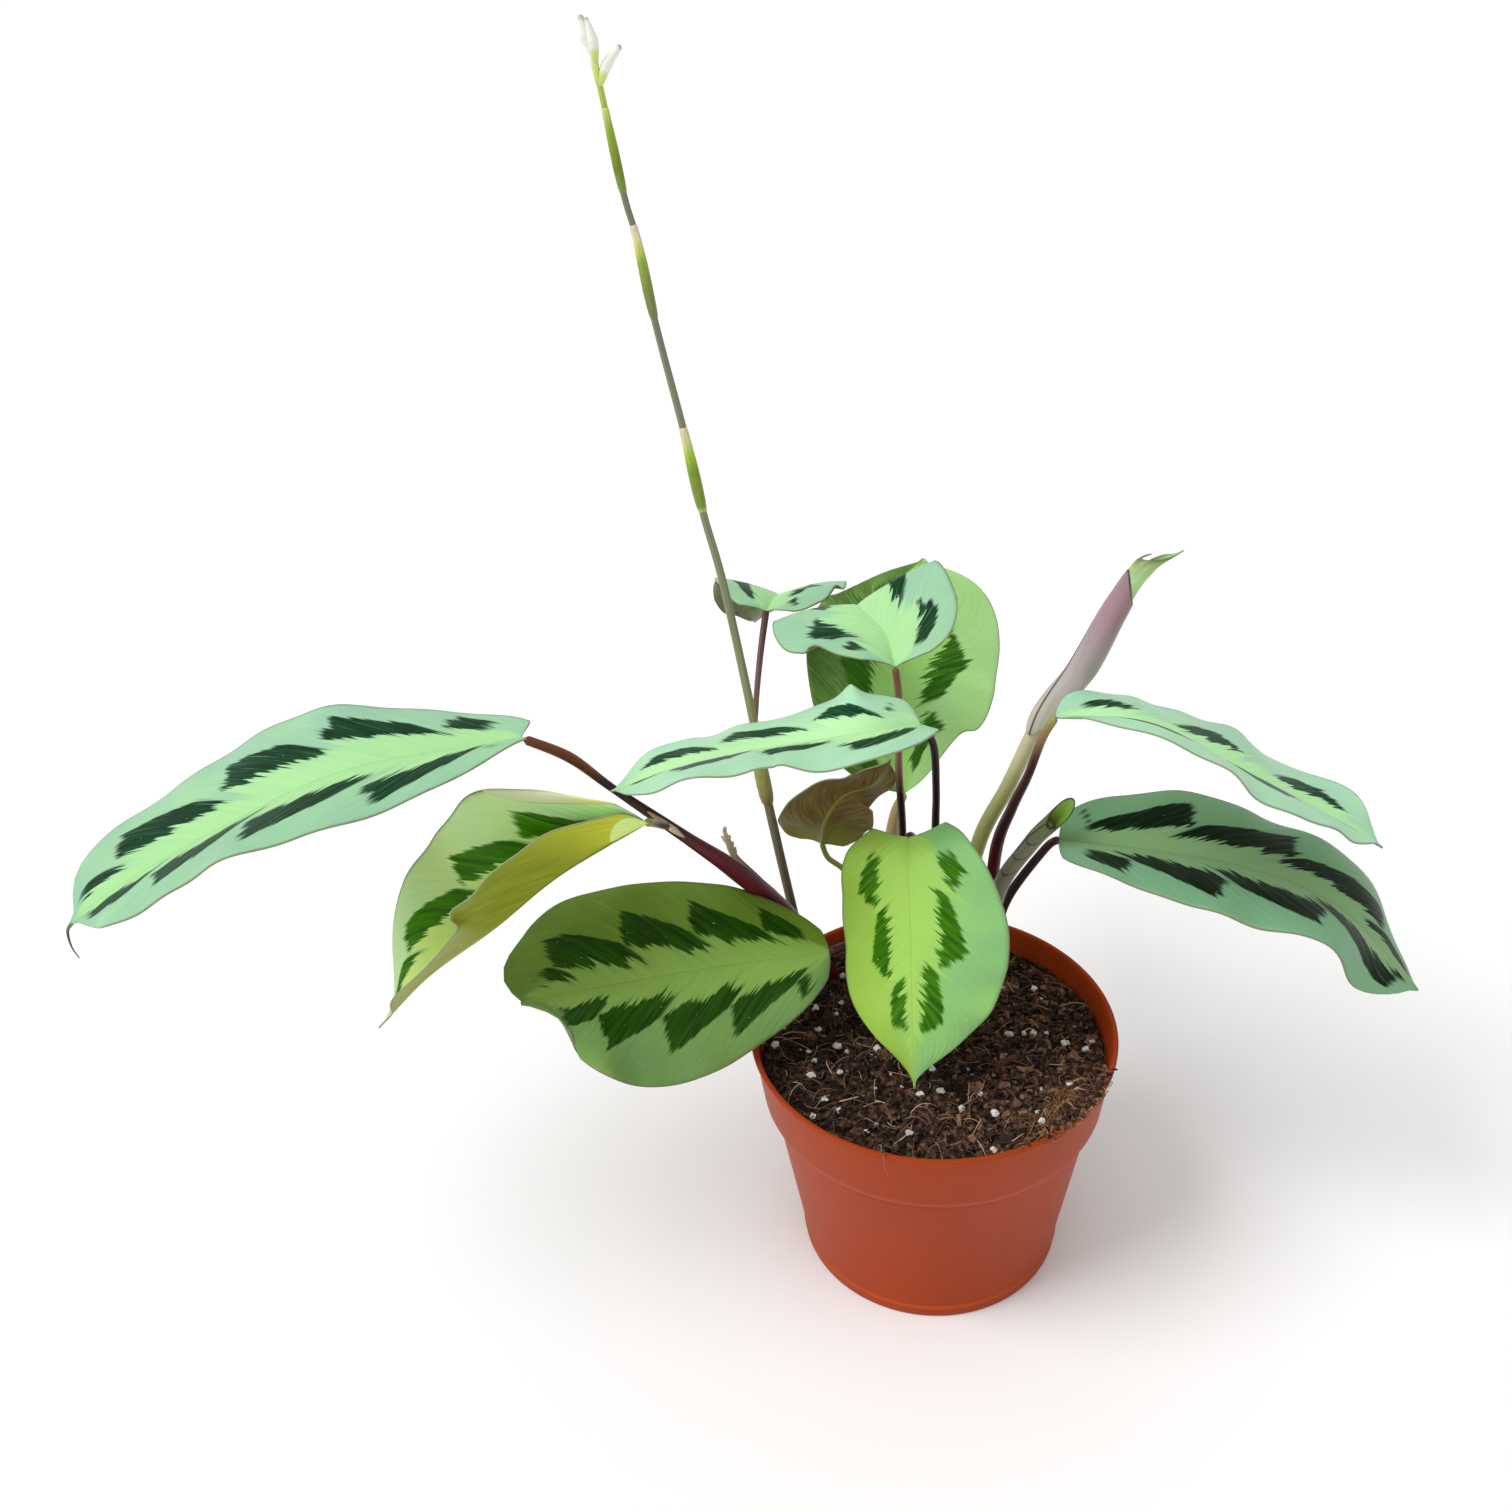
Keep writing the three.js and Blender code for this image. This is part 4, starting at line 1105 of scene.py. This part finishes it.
soil = shaped("potting_mix_body", 130, 300, soil_rule, seam=True)
recipe = Recipe("potting mix", 0.95, Specular_IOR_Level=0.15)
where = recipe.place()
crumbs = recipe.grain(where, 420.0, 6.0)
patches = recipe.grain(where, 60.0, 3.0)
colour = recipe.blend(crumbs, [(0.3, paint(12, 9, 7)), (0.46, paint(38, 27, 21)),
                               (0.58, paint(84, 60, 46)), (0.72, paint(130, 98, 76))])
damp = recipe.times(recipe.rise(patches, 0.5, 0.75), 0.6)
colour = recipe.mix(damp, colour, paint(34, 22, 17))
dress(soil, "potting_mix", "potting_mix", recipe.finish(colour, crumbs, 0.0015, 1.0))
print("potting mix:", len(soil.data.polygons), "faces")

# %% [markdown]
# ## Loose bits
#
# Bark chips, peat crumbs and white perlite lie on the mix, and some have spilt over the
# rim. They could be scattered with a particle system; here each kind is one mesh made of
# many small copies of a primitive, so that nothing stays live. Each copy has its own size,
# turn and shade, and the shade picks its colour.

# %% Copies in one mesh
def crumb_seed(kind):
    """A small rough lump to copy, from a primitive: its corners and its faces."""
    deselect()
    if kind == "chip":
        bpy.ops.mesh.primitive_cube_add(size=1)
    else:
        bpy.ops.mesh.primitive_ico_sphere_add(subdivisions=1 if kind == "crumb" else 2, radius=0.5)
    lump = bpy.context.object
    corners = np.array([v.co[:] for v in lump.data.vertices])
    faces = [tuple(f.vertices) for f in lump.data.polygons]
    bpy.data.objects.remove(lump)
    return corners, faces


def many(name, corners_of, faces, count):
    """One mesh of count copies. corners_of(i) gives a copy's corners and its shade."""
    points, polygons, shades = [], [], []
    for i in range(count):
        corners, shade = corners_of(i)
        offset = sum(map(len, points))
        points.append(corners)
        polygons += [tuple(offset + k for k in face) for face in faces]
        shades += [shade] * len(corners)
    mesh = bpy.data.meshes.new(name)
    mesh.from_pydata(np.vstack(points).tolist(), [], polygons)
    tint = mesh.attributes.new("shade", "FLOAT", "POINT")
    tint.data.foreach_set("value", shades)
    piece = bpy.data.objects.new(name, mesh)
    bpy.context.collection.objects.link(piece)
    return piece


print("loose bits are copied from a cube or a small ball")

# %% Bark, peat and perlite
BIT_REACH = 54  # millimetres from the middle that a bit's end may lie


def on_the_mix(reach):
    radius = reach * math.sqrt(dice.random())
    angle = dice.random() * 2 * math.pi
    x, y = radius * math.cos(angle), radius * math.sin(angle)
    return x, y, float(soil_height(x, y))


def over_the_rim(_):
    """A place in the spill, which lies on the rim and so is higher than the mix."""
    reach, angle = dice.uniform(50, 60.2), math.radians(dice.normal(SPILL_BEARING, 9))
    x, y = reach * math.cos(angle), reach * math.sin(angle)
    height = soil_height(x, y)
    if reach > SOIL_RADIUS:
        height = max(height, POT_HEIGHT + 0.6 - 0.8 * max(0, reach - RIM_RADIUS))
    return x, y, float(height)


def tumbled():
    turn, axis = dice.random() * 6.28, Vector(dice.normal(size=3)).normalized()
    return np.array(Matrix.Rotation(turn, 3, axis))


def flattened(lengths, widths, heights):
    """A length, and a width and a height that are shares of it."""
    return dice.uniform(*lengths) * np.array([1, dice.uniform(*widths), dice.uniform(*heights)])


def loose_bits(name, kind, count, sizes, stops, roughness, bury, place=on_the_mix):
    corners, faces = crumb_seed(kind)

    def one(_):
        size = flattened(sizes, (0.35, 0.9), (0.25, 0.6))
        if kind == "perlite":  # rounder, so thrown again
            size = flattened(sizes, (0.7, 1), (0.6, 0.9))
        shape = corners * size * (1 + 0.2 * dice.normal(size=(len(corners), 1)))
        x, y, z = place(BIT_REACH - 0.5 * size[0])
        drier = min(1, max(-1, x / 35))  # the mix is paler towards the right
        shade = min(1.0, dice.random() * (0.8 + 0.3 * drier))
        return (shape @ tumbled().T + (x, y, z + bury * size[0])) * MM, shade

    piece = many(name, one, faces, count)
    recipe = Recipe(name.replace("_", " "), roughness, Specular_IOR_Level=0.25)
    shade = recipe.node("Attribute", {}, out=2, attribute_name="shade")
    grit = recipe.grain(recipe.place(), 900.0, 3.0)
    colour = recipe.blend(shade, stops)
    colour = recipe.mix(recipe.rise(grit, 0.4, 0.8), colour, stops[0][1])
    dress(piece, "potting_mix", "potting_mix", recipe.finish(colour, grit, 0.0004, 0.8))
    print(name, count)


loose_bits(
    "bark_chips", "chip", 520, (1.4, 3.8),
    [(0, paint(24, 16, 13)), (0.35, paint(58, 40, 31)), (0.65, paint(112, 80, 60)),
     (1, paint(158, 118, 90))], 0.85, 0.1)
loose_bits(
    "large_bark_chips", "bark", 12, (4.5, 8.5),
    [(0, paint(34, 23, 19)), (0.6, paint(60, 40, 31)), (1, paint(104, 70, 52))], 0.85, 0.06)
loose_bits(
    "peat_crumbs", "crumb", 3000, (0.7, 2.6),
    [(0, paint(14, 10, 8)), (0.4, paint(44, 31, 24)), (0.62, paint(104, 76, 59)),
     (1, paint(150, 114, 88))], 0.95, 0.2)
loose_bits(
    "perlite", "perlite", 80, (0.8, 3.2),
    [(0, paint(196, 190, 184)), (0.4, paint(226, 222, 216)), (1, paint(240, 238, 234))], 0.7, 0.3)
loose_bits(
    "spilt_crumbs", "crumb", 420, (0.8, 2.8),
    [(0, paint(34, 22, 17)), (0.5, paint(74, 50, 37)), (1, paint(132, 94, 66))],
    0.95, 0.1, over_the_rim)

# %% [markdown]
# ## Fibres
#
# Coir is coconut fibre: short bent strands as thin as thread, thickest where it has spilt.
# Each strand could be a curve with a bevel; a strand of eight rings with three corners each
# is far lighter, and at this size it still looks round. A strand is drawn as a short walk
# over the mix, kept inside the pot or, in the spill, on the rim.

# %% Fibres
STRAND_RINGS, STRAND_CORNERS = 8, 3
FIBRE_LIFTS, FIBRE_RADII = (0.1, 1.6), (0.09, 0.2)
WALL_REACH, SPILT_REACH = 56.2, 60.8  # how far out a strand goes in the pot and on the rim


def kept_in(x, y):
    """The place, moved in where it would be past the wall, and how far out it is then."""
    reach = math.hypot(x, y)
    limit = SPILT_REACH if float(spill(x, y)) > 0.1 else WALL_REACH
    inside = min(1.0, limit / max(reach, 1e-6))
    return x * inside, y * inside, reach * inside


def fibre_on(place, lengths):
    """Makes a rule for a thin bent strand: rings of corners along a short curved path."""
    def one(_):
        x, y = place()
        length, lift = dice.uniform(*lengths), dice.uniform(*FIBRE_LIFTS)
        heading = dice.uniform(0, 6.28)
        bend = dice.normal(0, 0.15)
        path = []
        for k in range(STRAND_RINGS):
            heading += bend
            x += length / STRAND_RINGS * math.cos(heading)
            y += length / STRAND_RINGS * math.sin(heading)
            x, y, reach = kept_in(x, y)
            arch = lift * math.sin(math.pi * k / (STRAND_RINGS - 1))
            height = float(soil_height(x, y)) + 0.5 + arch
            if reach > SOIL_RADIUS + 0.5:
                height = max(height, POT_HEIGHT + 0.4 - 1.5 * max(0, reach - 60.2))
            path.append((x, y, height))
        path = np.array(path)
        along = unit(np.gradient(path, axis=0))
        out = unit(np.cross(along, (0, 0, 1)))
        up = np.cross(out, along)
        radius = dice.uniform(*FIBRE_RADII) * np.linspace(1, 0.5, STRAND_RINGS)[:, None]
        ring = [path + radius * (math.cos(a) * out + math.sin(a) * up) for a in (0, 2.09, 4.19)]
        return np.stack(ring, axis=1).reshape(-1, 3) * MM, dice.random()

    return one


def anywhere():
    return on_the_mix(SOIL_RADIUS)[:2]


def near_the_spill():
    reach, angle = dice.normal(54.5, 4), math.radians(dice.normal(SPILL_BEARING, 12))
    return reach * math.cos(angle), reach * math.sin(angle)


def strand_face(ring, corner):
    here, after = STRAND_CORNERS * ring, STRAND_CORNERS * (ring + 1)
    beside = (corner + 1) % STRAND_CORNERS
    return here + corner, after + corner, after + beside, here + beside


strand_faces = [strand_face(k, j) for k in range(STRAND_RINGS - 1) for j in range(STRAND_CORNERS)]
strand_faces += [(0, 1, 2), (23, 22, 21)]
FIBRE_SETS = {
    "coir_fibres": (
        1100, fibre_on(anywhere, (3, 13)),
        [(0, paint(36, 24, 19)), (0.5, paint(92, 66, 50)), (0.88, paint(146, 112, 86)),
         (1, paint(214, 190, 158))]),
    "coir_spill": (
        380, fibre_on(near_the_spill, (3, 10)),
        [(0, paint(62, 40, 29)), (0.5, paint(118, 80, 54)), (0.9, paint(166, 122, 84)),
         (1, paint(210, 176, 134))]),
}
for name, (count, strand, stops) in FIBRE_SETS.items():
    fibres = many(name, strand, strand_faces, count)
    recipe = Recipe(name.replace("_", " "), 0.8, Specular_IOR_Level=0.25)
    shade = recipe.node("Attribute", {}, out=2, attribute_name="shade")
    dress(fibres, "potting_mix", "potting_mix", recipe.finish(recipe.blend(shade, stops)))
    print(name, count)

# %% [markdown]
# ## A strand over the rim
#
# One thicker strand hangs over the front of the rim. A random one could land there by
# chance; this one is placed at listed points, as a thin stalk.

# %% One strand over the rim
STRAND = [(0, paint(140, 84, 56)), (1, paint(170, 104, 70))]
add_stalk(
    "strand_over_rim", "potting_mix", "potting_mix",
    [(-11, -52, 84), (-13, -57, 89.6), (-13.6, -59.6, 90.5), (-13.2, -60.6, 88),
     (-12, -60.8, 83.6)], [0.25, 0.25, 0.25, 0.22, 0.1],
    STRAND, rows=40, sides=6, roughness=0.8)
print("one strand hangs over the front of the rim")

# %% [markdown]
# ## The room
#
# A pale floor under soft light from the upper left. It could be a whole studio; a floor,
# one wide soft sun and an even sky are enough for a plant, and keep its greens true. The
# Standard view shows the paints as they were chosen.

# %% Floor and light
FLOOR_SIZE, SKY_STRENGTH, SUN_STRENGTH, SUN_WIDTH = 12, 0.72, 1.9, 34  # the width in degrees
deselect()
bpy.ops.mesh.primitive_plane_add(size=FLOOR_SIZE, location=(0, 0, -0.2 * MM))
floor = bpy.context.object
floor.name = "floor"
floor.data.materials.append(Recipe("floor", 0.9, Base_Color=paint(246, 246, 246)).material)

world = bpy.context.scene.world or bpy.data.worlds.new("sky")
bpy.context.scene.world = world
world.use_nodes = True
sky = world.node_tree.nodes["Background"]
sky.inputs["Color"].default_value = (1, 1, 1, 1)
sky.inputs["Strength"].default_value = SKY_STRENGTH
bpy.context.scene.view_settings.view_transform = "Standard"

bpy.ops.object.light_add(type="SUN", location=(-1, -0.45, 1.3))
lamp = bpy.context.object
lamp.name = "window"
lamp.data.angle = math.radians(SUN_WIDTH)
lamp.data.energy = SUN_STRENGTH
lamp.rotation_euler = Vector(lamp.location).to_track_quat("Z", "Y").to_euler()
print("sky", SKY_STRENGTH, "sun", SUN_STRENGTH)

# %% [markdown]
# ## The camera
#
# It stands in front of the plant, above the leaves, and looks down into the pot. It could
# be aimed with a tracking constraint; three turns, written out, also give it its slight
# lean to the side.

# %% Camera
bpy.ops.object.camera_add(location=(0, -0.375, 0.429))
camera = bpy.context.object
camera.name = "camera"
camera.data.lens = 35.71
camera.data.sensor_width = 36
camera.data.clip_start = 0.01
yaw, pitch, lean = math.radians(8.1), math.radians(-31.9), math.radians(3.3)
level = Matrix.Rotation(math.radians(90), 4, "X")  # an untouched camera looks straight down
aim = Matrix.Rotation(yaw, 4, "Z") @ Matrix.Rotation(pitch, 4, "X") @ Matrix.Rotation(lean, 4, "Y")
camera.matrix_world = Matrix.Translation(camera.location) @ aim @ level
bpy.context.scene.camera = camera
print("camera", [round(c, 3) for c in camera.location])
